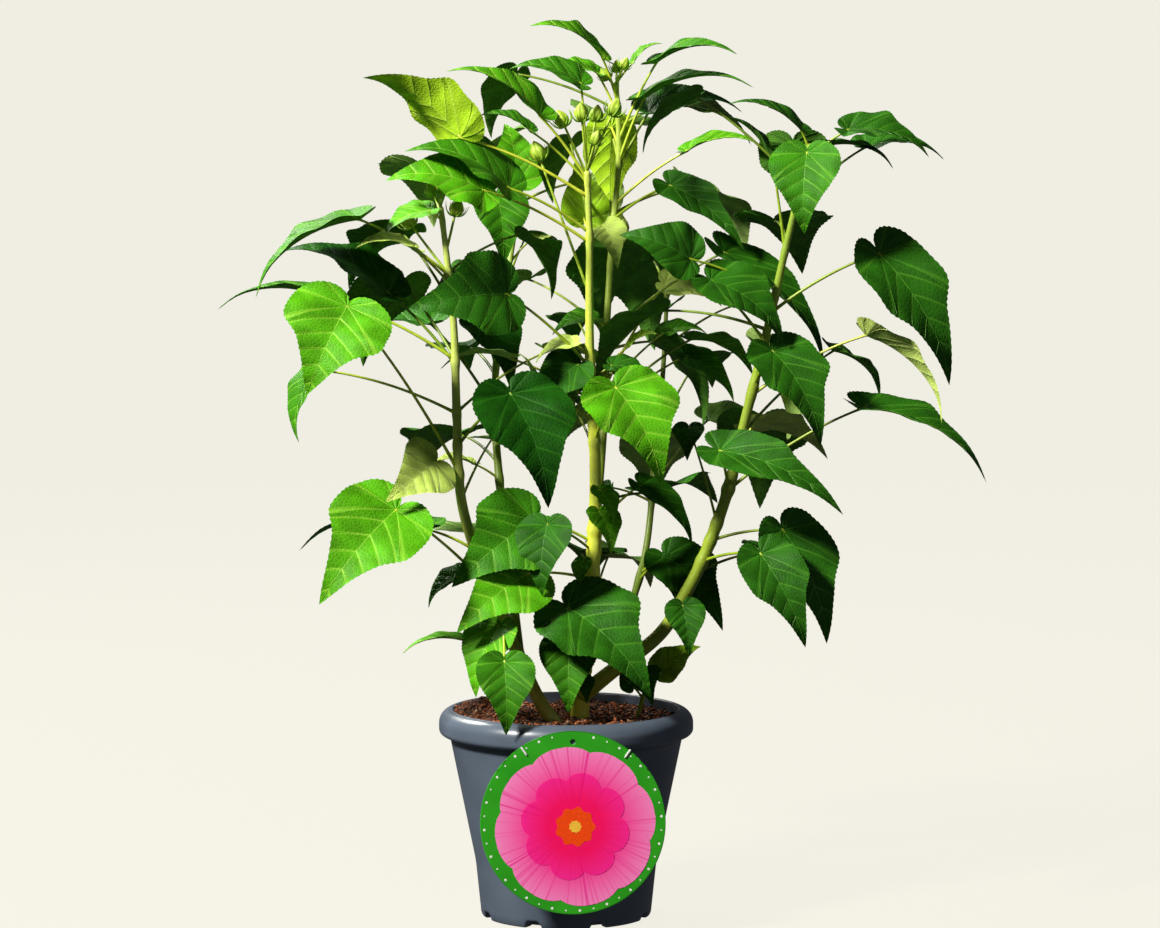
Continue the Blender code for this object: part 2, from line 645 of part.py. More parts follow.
def is_clear(points, own_mass, placed):
    """True where no point lies near a leaf or cane of another mass, or inside pot or compost."""
    radius = np.hypot(points[:, 0], points[:, 1])
    surface = COMPOST_TOP + heap(points[:, 0], points[:, 1])
    if ((radius < RIM_WIDTH / 2 + 6 * MM) & (points[:, 2] < surface + 4 * MM)).any():
        return False
    over_rim = (radius > RIM_WIDTH / 2 - RIM_ROUND - 4 * MM) & (radius < RIM_WIDTH / 2 + 3 * MM)
    if (over_rim & (points[:, 2] < POT_HEIGHT + 2 * MM)).any():
        return False
    middle = points.mean(axis=0)
    size = np.linalg.norm(points - middle, axis=1).max()
    for mass, clearance, other_middle, other_size, other in placed:
        if mass == own_mass:
            continue
        if np.linalg.norm(middle - other_middle) > size + other_size + clearance:
            continue
        apart = np.linalg.norm(points[:, None] - other[None], axis=2)
        if apart.min() < clearance:
            return False
    return True


def noted(mass, clearance, points):
    middle = points.mean(axis=0)
    return mass, clearance, middle, np.linalg.norm(points - middle, axis=1).max(), points


def place_leaf(cane, row, placed):
    """The leaf of a row at its first clear nudge, or None where there is none."""
    mass = piece_at(cane, row[0])
    for nudge in NUDGES:
        leaf = Leaf(cane, row, nudge)
        points = leaf.samples()
        if is_clear(points, mass, placed):
            placed.append(noted(mass, CLEAR, points))
            return mass, leaf
    return None


def seen_cells(points):
    """Codes of the cells that points fall in, seen from the label's side and a little above."""
    nearer = EYE_AWAY / (EYE_AWAY + points[:, 1])
    across = points[:, 0] * nearer
    up = EYE_HEIGHT + (points[:, 2] - EYE_HEIGHT) * nearer
    return np.round(across / HIDDEN_CELL) * 1000 + np.round(up / HIDDEN_CELL)


def rear_nodes(cane, rng):
    """For each node of a cane, a fixed turn on from the last, the rows that it may bear."""
    low = PIECES[cane][0][1] + 8
    high = CANES[cane]["stops"][-1][2] - 6
    forks = [facts["stops"][0][2] for facts in CANES.values() if facts["grows_from"] == cane]
    joints = [top for name, top in PIECES[cane] if top]
    way = rng.uniform(0, 360)
    for height in np.arange(low, high, NODE_SPACING):
        way = (way + NODE_TURN) % 360
        rows = [(float(height), way + rng.uniform(-20, 20), rng.uniform(*STALK_RANGE),
                 rng.uniform(*RISE_RANGE), rng.uniform(*BLADE_RANGE), rng.uniform(*PITCH_RANGE),
                 rng.uniform(-25, 25), rng.uniform(-20, 20), 1) for _ in range(TRIES)]
        near_fork = any(abs(height - fork) < FORK_CLEAR for fork in forks)
        near_joint = any(abs(height - joint) < JOINT_CLEAR for joint in joints)
        if REAR_ARC[0] < way < REAR_ARC[1] and not near_fork and not near_joint:
            yield rows


def grow_leaves():
    """Every leaf as (mass, leaf): the noted ones first, then those of the unseen side."""
    placed = []
    for cane in CANES:
        for name, low, high in piece_spans(cane):
            placed.append(noted(name, CANE_CLEAR, cane_skin(cane, low, high)))
    for cane, rows in BUDS.items():
        for row in rows:
            placed.append(noted(piece_at(cane, row[0]), CLEAR, Bud(cane, row).samples()))
    grown = [place_leaf(cane, row, placed) for cane, rows in LEAVES.items() for row in rows]
    grown = [leaf for leaf in grown if leaf]
    front = seen_cells(np.vstack([leaf.samples() for mass, leaf in grown]))
    rng = np.random.default_rng(SEED)
    for cane in CANES:
        for rows in rear_nodes(cane, rng):
            for row in rows:
                hidden = np.isin(seen_cells(Leaf(cane, row).samples()), front).mean()
                leaf = place_leaf(cane, row, placed) if hidden >= HIDDEN_SHARE else None
                if leaf:
                    grown.append(leaf)
                    break
    return grown


def join(name, parts, finish):
    """One solid from overlapping parts, by a single union with a collection of the rest."""
    rest = bpy.data.collections.new(f"{name}_parts")
    bpy.context.scene.collection.children.link(rest)
    for part in parts[1:]:
        CUTTERS.objects.unlink(part)
        rest.objects.link(part)
    union = parts[0].modifiers.new("Join", "BOOLEAN")
    union.operation = "UNION"
    union.solver = "MANIFOLD"
    union.operand_type = "COLLECTION"
    union.collection = rest
    evaluated = parts[0].evaluated_get(bpy.context.evaluated_depsgraph_get())
    mesh = bpy.data.meshes.new_from_object(evaluated)
    mesh.name = name
    mesh.materials.clear()
    for part in parts:
        bpy.data.objects.remove(part)
    bpy.data.collections.remove(rest)
    return add_object(name, mesh, PLANT, finish)


def build_mass(cane, name, low, high, leaves, finish):
    points, radii = cane_stretch(cane, low, high)
    parts = [limb(f"{name}_stem", points, radii, 6, CUTTERS)]
    for number, leaf in enumerate(leaves):
        points = leaf.stalk(3)
        points[-1] = leaf.surface(np.array((STALK_SUNK,)), np.zeros(1))[0]
        thick = STALK_THICK / 2 * np.array((1, 0.9, 0.55))
        stalk = stalk_mesh(f"{name}_stalk_{number}", points, thick)
        blade = blade_mesh(f"{name}_blade_{number}", leaf)
        parts += [add_object(mesh.name, mesh, CUTTERS) for mesh in (stalk, blade)]
    for number, row in enumerate(BUDS.get(cane, ())):
        if not low <= row[0] <= high:
            continue
        bud = Bud(cane, row)
        stalk = stalk_mesh(f"{name}_bud_stalk_{number}",
                           [bud.foot, bud.end + bud.ahead * 3 * MM], BUD_STALK)
        egg = bud_mesh(f"{name}_bud_{number}", bud)
        parts += [add_object(mesh.name, mesh, CUTTERS) for mesh in (stalk, egg)]
    return join(name, parts, finish)


def fork_cutter(cane, parent):
    """The parent cane near the fork, wider by the gap, which shapes the branch's foot."""
    height = CANES[cane]["stops"][0][2]
    heights = np.linspace(height - 40, height + 60, 9)
    low = CANES[parent]["stops"][0][2]
    heights = heights[heights > low]
    points = [cane_point(parent, h) for h in heights]
    radii = [cane_radius(parent, h) * 1.1 + GAP for h in heights]
    return limb(f"{cane}_fork_cutter", points, radii, 8, CUTTERS)


def ground_cutter(name):
    """Everything under the compost's level middle, which gives a cane its flat foot."""
    depth = COMPOST_FLAT
    size = (2 * COMPOST_FLAT, 2 * COMPOST_FLAT, depth)
    return box_cutter(f"{name}_foot_cutter", size, (0, 0, COMPOST_TOP + GAP - depth / 2), 0)


def build_plant():
    bark = material("cane_bark", (0.30, 0.42, 0.06), 0.5)
    foliage = material("foliage", (0.05, 0.22, 0.02), 0.45)
    grown = grow_leaves()
    for cane, facts in CANES.items():
        for name, low, high in piece_spans(cane):
            if name.startswith("cane"):
                points, radii = cane_stretch(cane, low, high)
                bough = limb(name, points, radii, 8, PLANT)
                bough.data.materials.append(bark)
                bough.data.shade_smooth()
                parent = facts["grows_from"]
                cut(bough, fork_cutter(cane, parent) if parent else ground_cutter(name))
                continue
            leaves = [leaf for mass, leaf in grown if mass == name]
            build_mass(cane, name, low, high, leaves, foliage)


clear_scene()
build_pot()
build_compost()
build_label()
build_plant()
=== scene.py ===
"""The looks of a hardy hibiscus shrub in a round nursery pot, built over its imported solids.

Metres, +Z up. The origin is the centre of the pot's underside, and the label hangs on the -Y side.
Ways round the plant are degrees from +X towards +Y.
"""

import math

import bpy
import numpy as np
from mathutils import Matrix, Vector


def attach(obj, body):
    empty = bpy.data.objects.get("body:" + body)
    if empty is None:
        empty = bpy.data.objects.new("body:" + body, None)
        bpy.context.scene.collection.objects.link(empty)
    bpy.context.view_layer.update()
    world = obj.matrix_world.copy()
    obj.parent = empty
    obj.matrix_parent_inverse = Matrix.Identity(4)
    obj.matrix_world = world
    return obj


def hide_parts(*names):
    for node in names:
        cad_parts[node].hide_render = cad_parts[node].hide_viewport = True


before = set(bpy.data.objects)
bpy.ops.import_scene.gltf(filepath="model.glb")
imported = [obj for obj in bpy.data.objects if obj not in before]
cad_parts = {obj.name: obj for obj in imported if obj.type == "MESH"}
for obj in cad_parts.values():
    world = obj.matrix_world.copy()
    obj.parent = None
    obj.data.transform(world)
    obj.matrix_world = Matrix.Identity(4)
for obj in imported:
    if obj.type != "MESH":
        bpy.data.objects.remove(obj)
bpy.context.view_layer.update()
MM = 0.001


# ---- Camera, floor and studio light ----
# The plant stands in a pale seamless cove. A strong lamp high on the left models the leaves,
# a wide weak panel fills from the right, and one from behind lights the leaves' edges.

EYE_PLACE = (0.012, -3.5, 0.70)
EYE_AIM = (0.012, 0, 0.392)
EYE_LENS = 126.65
SWEEP_REACH = 9.0  # from the plant to the wall
SWEEP_ROUND = 2.5
SWEEP_TOP = 10.0
SWEEP_RINGS = 16
SWEEP_TURNS = 96
SWEEP_CREAM = (0.030, 0.029, 0.026)
SWEEP_GLOW = (0.867, 0.844, 0.760)


def linked(name, data):
    """A new object of the data given, in the scene."""
    made = bpy.data.objects.new(name, data)
    bpy.context.scene.collection.objects.link(made)
    return made


def aimed(name, data, place, aim):
    """A camera or a lamp at a place, turned to face a point."""
    made = linked(name, data)
    made.location = place
    made.rotation_euler = (Vector(aim) - Vector(place)).to_track_quat("-Z", "Y").to_euler()
    return made


class Finish:
    """A material being made. A node's inputs are given by name or number, each as a value or as
    the socket that feeds it."""

    def __init__(self, name, inputs):
        self.made = bpy.data.materials.new(name)
        self.made.use_nodes = True
        self.tree = self.made.node_tree
        self.shader = self.tree.nodes["Principled BSDF"]
        self.feed(self.shader, inputs)

    def feed(self, node, inputs):
        """Values and links for some inputs of a node."""
        for key, value in inputs.items():
            if isinstance(value, bpy.types.NodeSocket):
                self.tree.links.new(value, node.inputs[key])
            else:
                node.inputs[key].default_value = value

    def add(self, kind, inputs, output, **settings):
        """One more node, and from it the output named."""
        node = self.tree.nodes.new(f"ShaderNode{kind}")
        for key, value in settings.items():
            setattr(node, key, value)
        self.feed(node, inputs)
        return node.outputs[output]

    def ramp(self, share, *stops):
        """A colour between two stops, each a position and a colour."""
        made = self.add("ValToRGB", {"Fac": share}, "Color")
        for element, (position, colour) in zip(made.node.color_ramp.elements, stops):
            element.position = position
            element.color = (*colour, 1)
        return made

    def mix(self, share, first, second):
        """A colour between two."""
        return self.add("Mix", {"Factor": share, "A": first, "B": second}, "Result",
                        data_type="RGBA")

    def work(self, operation, first, second=0.0, clamped=False):
        """The result of one sum."""
        return self.add("Math", {0: first, 1: second}, "Value", operation=operation,
                        use_clamp=clamped)


def round_angles(count):
    """A whole turn in even steps."""
    return np.linspace(0, math.tau, count, endpoint=False)


def turned_skin(radius, height, turn):
    """Points of rings about the plant's upright axis, ring by ring."""
    return np.stack((radius * np.cos(turn), radius * np.sin(turn), height + 0 * turn),
                    axis=2).reshape(-1, 3)


def grid_triangles(rows, columns, closed):
    """Two triangles for each cell of a grid of points in row order, its last column joined to
    its first where it is closed."""
    row, column = np.meshgrid(np.arange(rows - 1), np.arange(columns - (not closed)),
                              indexing="ij")
    a = (row * columns + column).ravel()
    b = (row * columns + (column + 1) % columns).ravel()
    return np.vstack((np.stack((a, b, b + columns), 1), np.stack((a, b + columns, a + columns), 1)))


def fan_triangles(hub, ring, outward):
    """Triangles from a hub point to a closed ring of points."""
    around = np.roll(ring, -1)
    hubs = np.full_like(ring, hub)
    return np.stack((hubs, ring, around) if outward else (hubs, around, ring), axis=1)


def skin_mesh(name, points, triangles, finishes, finish_of=None, places=None):
    """A smooth mesh. Its triangles may differ in finish, and its points may carry places on a
    leaf's blade."""
    mesh = bpy.data.meshes.new(name)
    mesh.vertices.add(len(points))
    mesh.vertices.foreach_set("co", np.asarray(points, np.float32).ravel())
    mesh.loops.add(3 * len(triangles))
    mesh.polygons.add(len(triangles))
    mesh.polygons.foreach_set("loop_start", np.arange(0, 3 * len(triangles), 3, dtype=np.int32))
    mesh.polygons.foreach_set("vertices", np.asarray(triangles, np.int32).ravel())
    if finish_of is not None:
        mesh.polygons.foreach_set("material_index", np.asarray(finish_of, np.int32))
    if places is not None:
        layer = mesh.uv_layers.new(name="blade")
        layer.uv.foreach_set("vector", np.asarray(places[triangles.ravel()], np.float32).ravel())
    mesh.update(calc_edges=True)
    mesh.validate()
    mesh.shade_smooth()
    for finish in finishes:
        mesh.materials.append(finish.made)
    return mesh


def sweep_profile(steps):
    """(radius, z) up the wall: a quarter circle from the floor's edge, then straight to its top."""
    bend = np.linspace(-math.pi / 2, 0, steps)
    radius = SWEEP_REACH - SWEEP_ROUND + SWEEP_ROUND * np.cos(bend)
    z = SWEEP_ROUND + SWEEP_ROUND * np.sin(bend)
    return np.append(radius, SWEEP_REACH), np.append(z, SWEEP_TOP)


def build_sweep():
    """The profile turned once round the plant, with the floor as a fan about its middle."""
    radius, z = sweep_profile(SWEEP_RINGS)
    wall = turned_skin(radius[:, None], z[:, None], round_angles(SWEEP_TURNS))
    triangles = np.vstack((grid_triangles(len(radius), SWEEP_TURNS, True)[:, ::-1],
                           fan_triangles(len(wall), np.arange(SWEEP_TURNS), True)))
    paper = Finish("sweep_paper", {"Base Color": (*SWEEP_CREAM, 1), "Roughness": 0.9,
                                   "Specular IOR Level": 0.0, "Emission Strength": 1.0,
                                   "Emission Color": (*SWEEP_GLOW, 1)})
    made = linked("sweep", skin_mesh("sweep", np.vstack((wall, (0, 0, 0))), triangles, [paper]))
    made.visible_diffuse = False
    made.visible_glossy = False
    made.visible_shadow = False


def add_lamp(name, place, aim, size, watts, colour):
    """A round panel of light, aimed at a point."""
    data = bpy.data.lights.new(name, "AREA")
    data.shape = "DISK"
    data.size = size
    data.energy = watts
    data.color = colour
    aimed(name, data, place, aim)


view = bpy.data.cameras.new("eye")
view.sensor_fit = "HORIZONTAL"
view.sensor_width = 36
view.lens = EYE_LENS
view.clip_end = 60
bpy.context.scene.camera = aimed("eye", view, EYE_PLACE, EYE_AIM)

build_sweep()
add_lamp("key_lamp", (-2.1, -1.7, 2.5), (0, 0, 0.42), 0.55, 240, (1.0, 0.97, 0.87))
add_lamp("fill_panel", (2.6, -2.6, 1.3), (0, 0, 0.4), 2.2, 6, (0.92, 0.96, 1.0))
add_lamp("back_panel", (-1.4, 1.9, 2.3), (0, 0, 0.5), 0.9, 65, (1.0, 0.97, 0.88))

air = bpy.data.worlds.new("studio_air")
air.use_nodes = True
background = air.node_tree.nodes["Background"]
background.inputs["Color"].default_value = (0.93, 0.95, 1.0, 1)
background.inputs["Strength"].default_value = 0.06
bpy.context.scene.world = air
bpy.context.scene.view_settings.view_transform = "Standard"


# ---- Pot ----
# Injection-moulded polypropylene in slate grey: a thin wall that widens upwards, a rolled rim
# that stiffens it, and drain slots round the foot. The shell is one turned skin.

POT_HEIGHT = 180 * MM
RIM_WIDTH = 220 * MM
RIM_DEPTH = 22 * MM
RIM_ROUND = 12 * MM
RIM_TUCK = 5 * MM
RIM_STEP = 9 * MM
KNEE_WIDTH = 157 * MM
KNEE_HEIGHT = 48 * MM
FOOT_WIDTH = 147 * MM
WALL = 2.4 * MM
POT_FLOOR = 4 * MM
DRAIN_SLOTS = 8
DRAIN_WIDE = 13 * MM
DRAIN_TALL = 6 * MM
SLOT_EDGE = 0.35 * MM  # over which a slot's ends run out
LIP = 2 * MM
FOOT_ROUND = 2.5 * MM
UNDERSIDE = 1.2 * MM
HUB_RING = 0.5 * MM
POT_STEPS = 288
WANDER = 0.0012  # of the radius
COMPOST_TOP = 172 * MM
RAMP_FROM = 0.36  # of the noise, where the darker shade ends
RAMP_TO = 0.64


def mottled(name, dark, light, scale, roughness, bump_scale=0.0, bump_height=0.0):
    """A finish whose colour drifts between two shades with noise on Object coordinates, and
    whose skin stands up by a finer noise. The colour's socket is kept as its shade."""
    finish = Finish(name, {"Roughness": roughness})
    place = finish.add("TexCoord", {}, "Object")
    noise = finish.add("TexNoise", {"Vector": place, "Scale": scale, "Detail": 3.0}, "Fac")
    finish.shade = finish.ramp(noise, (RAMP_FROM, dark), (RAMP_TO, light))
    finish.feed(finish.shader, {"Base Color": finish.shade})
    if bump_height:
        grain = finish.add("TexNoise", {"Vector": place, "Scale": bump_scale, "Detail": 2.0}, "Fac")
        bump = finish.add("Bump", {"Strength": 1.0, "Distance": bump_height, "Height": grain},
                          "Normal")
        finish.feed(finish.shader, {"Normal": bump})
    return finish


def lit_and_shaded(name, shade, darker, scale, roughness):
    """A mottled finish between a shade and a share of it."""
    return mottled(name, tuple(darker * part for part in shade), shade, scale, roughness)


def capped(rings, sides):
    """Triangles of a skin of closed rings, with a fan at each end. The two fans' hubs are the
    points after the last ring."""
    ring = np.arange(sides)
    count = rings * sides
    return np.vstack((grid_triangles(rings, sides, True), fan_triangles(count, ring, False),
                      fan_triangles(count + 1, ring + count - sides, True)))


def put_together(name, points, triangles, finishes, slot, nodes=(), **more):
    """One piece that rides on the plant's body, in place of the solids named."""
    made = linked(name, skin_mesh(name, points, triangles, finishes, **more))
    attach(made, "root")
    if nodes:
        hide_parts(*nodes)


def wall_radius(height):
    """Outer radius of the pot's wall, which widens more above its knee than below it."""
    heights = (0, KNEE_HEIGHT, POT_HEIGHT - RIM_DEPTH)
    return np.interp(height, heights, (FOOT_WIDTH / 2, KNEE_WIDTH / 2, RIM_WIDTH / 2 - RIM_STEP))


def arc_points(middle, radius, start, end, steps):
    """Points of an arc in the profile plane, from one angle in degrees to another."""
    turn = np.radians(np.linspace(start, end, steps))
    return np.stack((middle[0] + radius * np.cos(turn), middle[1] + radius * np.sin(turn)), axis=1)


def pot_profile():
    """(r, z) round the shell's section: from the middle of its floor up the inside, over the
    rolled rim, down the outside and back to the middle of its underside."""
    rim, top = RIM_WIDTH / 2, POT_HEIGHT
    shoulder = top - RIM_DEPTH
    inner = np.linspace(POT_FLOOR + 3 * MM, shoulder, 12)
    outer = np.linspace(shoulder - LIP, 3 * MM, 30)
    return np.vstack((
        [(HUB_RING, POT_FLOOR), (wall_radius(0) - WALL - 3 * MM, POT_FLOOR)],
        np.stack((wall_radius(inner) - WALL, inner), axis=1),
        arc_points((rim - RIM_ROUND + 1 * MM, top - LIP), LIP, 180, 90, 5),
        arc_points((rim - RIM_ROUND, top - RIM_ROUND), RIM_ROUND, 85, 0, 12),
        arc_points((rim - RIM_TUCK, shoulder + RIM_TUCK), RIM_TUCK, 0, -90, 7),
        arc_points((wall_radius(shoulder) + LIP, shoulder - LIP), LIP, 90, 180, 4),
        np.stack((wall_radius(outer), outer), axis=1),
        arc_points((wall_radius(0) - FOOT_ROUND, FOOT_ROUND), FOOT_ROUND, 0, -90, 5),
        [(wall_radius(0) - 9 * MM, 0), (wall_radius(0) - 11 * MM, UNDERSIDE),
         (HUB_RING, UNDERSIDE)],
    ))


def build_pot():
    """The profile turned round. Near the foot, points rise by the depth of a slot where they lie
    within one, and the wall wanders a little from round, as a moulding does."""
    profile = pot_profile()
    turn = round_angles(POT_STEPS)
    r, z = profile[:, 0][:, None], profile[:, 1][:, None]
    pitch = math.tau / DRAIN_SLOTS
    from_slot = np.abs(turn % pitch - pitch / 2) * FOOT_WIDTH / 2
    slot = 1 / (1 + np.exp((from_slot - DRAIN_WIDE / 2) / SLOT_EDGE))
    low = np.clip((DRAIN_TALL - z) / DRAIN_TALL, 0, 1) * (r > FOOT_WIDTH / 2 - 10 * MM)
    lifted = z + slot[None] * low * DRAIN_TALL * (z < DRAIN_TALL)
    wander = 1 + WANDER * np.sin(3 * turn + 1) * (z / POT_HEIGHT) * (z < POT_HEIGHT - RIM_DEPTH)
    points = np.vstack((turned_skin(r * wander, lifted, turn),
                        [(0, 0, POT_FLOOR), (0, 0, UNDERSIDE)]))
    slate = mottled("pot_slate", (0.078, 0.102, 0.142), (0.100, 0.128, 0.176), 14, 0.32,
                    900, 0.00008)
    slate.feed(slate.shader, {"Specular IOR Level": 0.6})
    put_together("pot_shell", points, capped(len(profile), POT_STEPS)[:, ::-1], [slate],
                 "pot_plastic", ["pot"])


build_pot()


# ---- Compost ----
# Peat and composted bark, heaped to the rim on the left. Its skin is one lumpy sheet closed by
# its sides and base, and loose chips lie pressed into it.

COMPOST_RINGS = 45
COMPOST_STEPS = 150
COMPOST_FOOT = 6 * MM
HEAP_AT = (-62 * MM, -6 * MM)
HEAP_REACH = 44 * MM
HEAP_RISE = 14 * MM
SPILL_AT = (-84 * MM, -2 * MM)
SPILL_REACH = 32 * MM
SPILL_RISE = 7 * MM
LUMP = 0.6 * MM
CHIP_COUNT = 5200
CHIP_SIZE = (3.4, 1.7, 0.9)  # millimetres


def heap(x, y):
    """How far the compost is heaped above its level at a place."""
    away = np.hypot(x - HEAP_AT[0], y - HEAP_AT[1]) / HEAP_REACH
    return HEAP_RISE * np.clip(1 - away ** 2, 0, 1) ** 2


def surface_height(x, y):
    """The heap on the level and its spill towards the rim, under lumps from five waves."""
    spill = np.clip(1 - ((x - SPILL_AT[0]) ** 2 + (y - SPILL_AT[1]) ** 2) / SPILL_REACH ** 2, 0, 1)
    lumps = np.zeros_like(x)
    for number, turn in enumerate((0.3, 1.4, 2.2, 2.9, 3.7)):
        wave = 260 + 75 * number
        lumps += np.sin(wave * (x * math.cos(turn) + y * math.sin(turn)) + 2 * number)
    return COMPOST_TOP - 1 * MM + heap(x, y) + SPILL_RISE * spill ** 2 + LUMP * lumps


def build_compost():
    """The lumpy sheet in rings out from its middle, then three rings down to the flat base."""
    inner = RIM_WIDTH / 2 - RIM_ROUND - 1.2 * MM
    radius = inner * np.linspace(0, 1, COMPOST_RINGS + 1)[1:, None]
    turn = round_angles(COMPOST_STEPS)
    sheet = turned_skin(radius, surface_height(radius * np.cos(turn), radius * np.sin(turn)), turn)
    down = np.array((POT_HEIGHT - RIM_DEPTH, KNEE_HEIGHT, COMPOST_FOOT))[:, None]
    sides = turned_skin(np.minimum(inner, wall_radius(down) - WALL - 1 * MM), down, turn)
    hubs = [(0, 0, surface_height(np.zeros(1), np.zeros(1))[0]), (0, 0, COMPOST_FOOT)]
    peat = mottled("peat", (0.030, 0.009, 0.003), (0.12, 0.036, 0.012), 160, 0.95, 900, 0.0012)
    put_together("compost_heap", np.vstack((sheet, sides, hubs)),
                 capped(COMPOST_RINGS + len(down), COMPOST_STEPS)[:, ::-1], [peat],
                 "compost", ["compost"])


def swung(first, second, angle):
    """Two coordinates turned by an angle in their plane."""
    c, s = np.cos(angle), np.sin(angle)
    return first * c - second * s, first * s + second * c


def build_chips():
    """Each chip is a skewed box of eight corners, sized, turned and laid on the heap by seeded
    draws; all are one mesh in three barks."""
    rng = np.random.default_rng(5)
    inner = RIM_WIDTH / 2 - RIM_ROUND - 3 * MM
    radius = inner * np.sqrt(rng.uniform(0.0, 1, CHIP_COUNT))
    way = rng.uniform(0, math.tau, CHIP_COUNT)
    x, y = radius * np.cos(way), radius * np.sin(way)
    size = rng.uniform(0.6, 1.0, (CHIP_COUNT, 1)) * np.array(CHIP_SIZE) * MM
    size *= rng.choice((0.6, 1.0, 1.5), (CHIP_COUNT, 1), p=(0.5, 0.4, 0.1))
    corners = np.array([(a, b, c) for a in (-1, 1) for b in (-1, 1) for c in (-1, 1)], float) / 2
    skew = 1 + rng.uniform(-0.35, 0.35, (CHIP_COUNT, 8, 3))
    local = corners[None] * size[:, None] * skew
    spin = rng.uniform(0, math.tau, CHIP_COUNT)
    tip = rng.normal(0, 0.45, CHIP_COUNT)
    leant, z = swung(local[..., 0], local[..., 2], tip[:, None])
    turned = np.stack((*swung(leant, local[..., 1], spin[:, None]), z), axis=2)
    middle = np.stack((x, y, surface_height(x, y) + 0.5 * MM), axis=1)
    points = (turned + middle[:, None]).reshape(-1, 3)
    box = np.array(((0, 1, 3), (0, 3, 2), (4, 6, 7), (4, 7, 5), (0, 4, 5), (0, 5, 1),
                    (2, 3, 7), (2, 7, 6), (0, 2, 6), (0, 6, 4), (1, 5, 7), (1, 7, 3)))
    triangles = (box[None] + 8 * np.arange(CHIP_COUNT)[:, None, None]).reshape(-1, 3)
    bark = rng.choice(3, CHIP_COUNT, p=(0.45, 0.40, 0.15))
    barks = [
        mottled("bark_red", (0.26, 0.058, 0.012), (0.44, 0.130, 0.034), 300, 0.9),
        mottled("bark_dark", (0.020, 0.007, 0.004), (0.06, 0.020, 0.008), 300, 0.9),
        mottled("bark_tan", (0.24, 0.12, 0.06), (0.36, 0.20, 0.11), 300, 0.85),
    ]
    put_together("bark_chips", points, triangles, barks, "compost", finish_of=np.repeat(bark, 12))


build_compost()
build_chips()


# ---- Label card and its ties ----
# A round card of printed plastic with an eyelet near its top, held against the rim by two short
# ties. Its print is a plain pink rosette on green, in thin layers of ink on the card.

LABEL_WIDTH = 156 * MM
LABEL_THICK = 1.2 * MM
LABEL_MIDDLE = (6 * MM, 99 * MM)
LABEL_HOLE = 4.5 * MM
LABEL_HOLE_DOWN = 9 * MM
LABEL_FRONT = -(RIM_WIDTH / 2 + 0.3 * MM + LABEL_THICK)
INK = 0.06 * MM
TIE_WIDE = 1.8 * MM
TIE_LONG = 9 * MM
TIE_PLACES = ((-41 * MM, 61 * MM, -35), (46 * MM, 59 * MM, 35))
TIE_RINGS = 17
TIE_SIDES = 16
CARD_STEPS = 192
CARD_ROUND = 0.5 * MM
CARD_RINGS = (  # share of the way from the eyelet to the edge, share drawn in, depth in mm
    (0, 0, 0.6), (0, 0, 0), (0.006, 0, 0), (0.03, 0, 0), (0.5, 0, 0), (0.97, 0, 0), (0.99, 0, 0),
    (1, 0.8, 0), (1, 0.25, 0.18), (1, 0, 0.5), (1, 0, 0.7), (1, 0.25, 1.0), (1, 0.8, 1.2),
    (0.99, 0, 1.2), (0.5, 0, 1.2), (0.006, 0, 1.2), (0, 0, 1.2), (0, 0, 0.6),
)
ROSETTE = (2 * MM, -3 * MM)  # its middle on the card
PETALS = 8  # in each ring
PETAL_STEPS = 24
PETAL_SIDES = 9
PETAL_START = 0.2
OUTER_REACH = 68 * MM
INNER_REACH = 46 * MM
EYE_SIDES = 48
DOTS = 40
DOT_SIDES = 14
DOTS_IN = 3.4 * MM  # from the card's edge


def on_card(across, up, raised):
    """Points of the card's front: its own across and up, raised towards the viewer."""
    x = LABEL_MIDDLE[0] + across
    z = LABEL_MIDDLE[1] + up
    return np.stack((x, np.broadcast_to(LABEL_FRONT - raised, x.shape), z), axis=-1)


def build_card():
    """A disc with a rounded edge and an eyelet: rings that run from the hole's edge out to the
    card's edge, where each point moves along the ray from the hole to the rim."""
    turn = round_angles(CARD_STEPS)
    hole_up = LABEL_WIDTH / 2 - LABEL_HOLE_DOWN
    edge_x, edge_z = LABEL_WIDTH / 2 * np.cos(turn), LABEL_WIDTH / 2 * np.sin(turn)
    hole_x, hole_z = LABEL_HOLE / 2 * np.cos(turn), hole_up + LABEL_HOLE / 2 * np.sin(turn)
    rows = []
    for share, inset, depth in CARD_RINGS:
        shrink = 1 - inset * CARD_ROUND / (LABEL_WIDTH / 2)
        x = hole_x + (edge_x * shrink - hole_x) * share
        z = hole_z + (edge_z * shrink - hole_z) * share
        rows.append(on_card(x, z, -depth * MM))
    points = np.vstack(rows)
    triangles = grid_triangles(len(rows), len(turn), True)[:, ::-1]
    green = mottled("card_green", (0.020, 0.30, 0.008), (0.030, 0.36, 0.012), 30, 0.32)
    green.feed(green.shader, {"Coat Weight": 0.4})
    put_together("label_card", points, triangles, [green], "label_card", ["label"])


def petal(way, reach, width, raised):
    """A flat petal: from its foot outwards, its half width follows the root of s times the root
    of one less the fourth power of s, and it lies a layer of ink above what is under it."""
    s = (1 - np.cos(np.linspace(0, math.pi, PETAL_STEPS))) / 2
    half = width / 2 * 1.32 * np.sqrt(s) * np.sqrt(np.clip(1 - s ** 4, 0, 1))
    across = np.linspace(-1, 1, PETAL_SIDES)
    x, z = swung(reach * s[:, None] + 0 * across, half[:, None] * across, way)
    return on_card(ROSETTE[0] + x, ROSETTE[1] + z, raised).reshape(-1, 3)


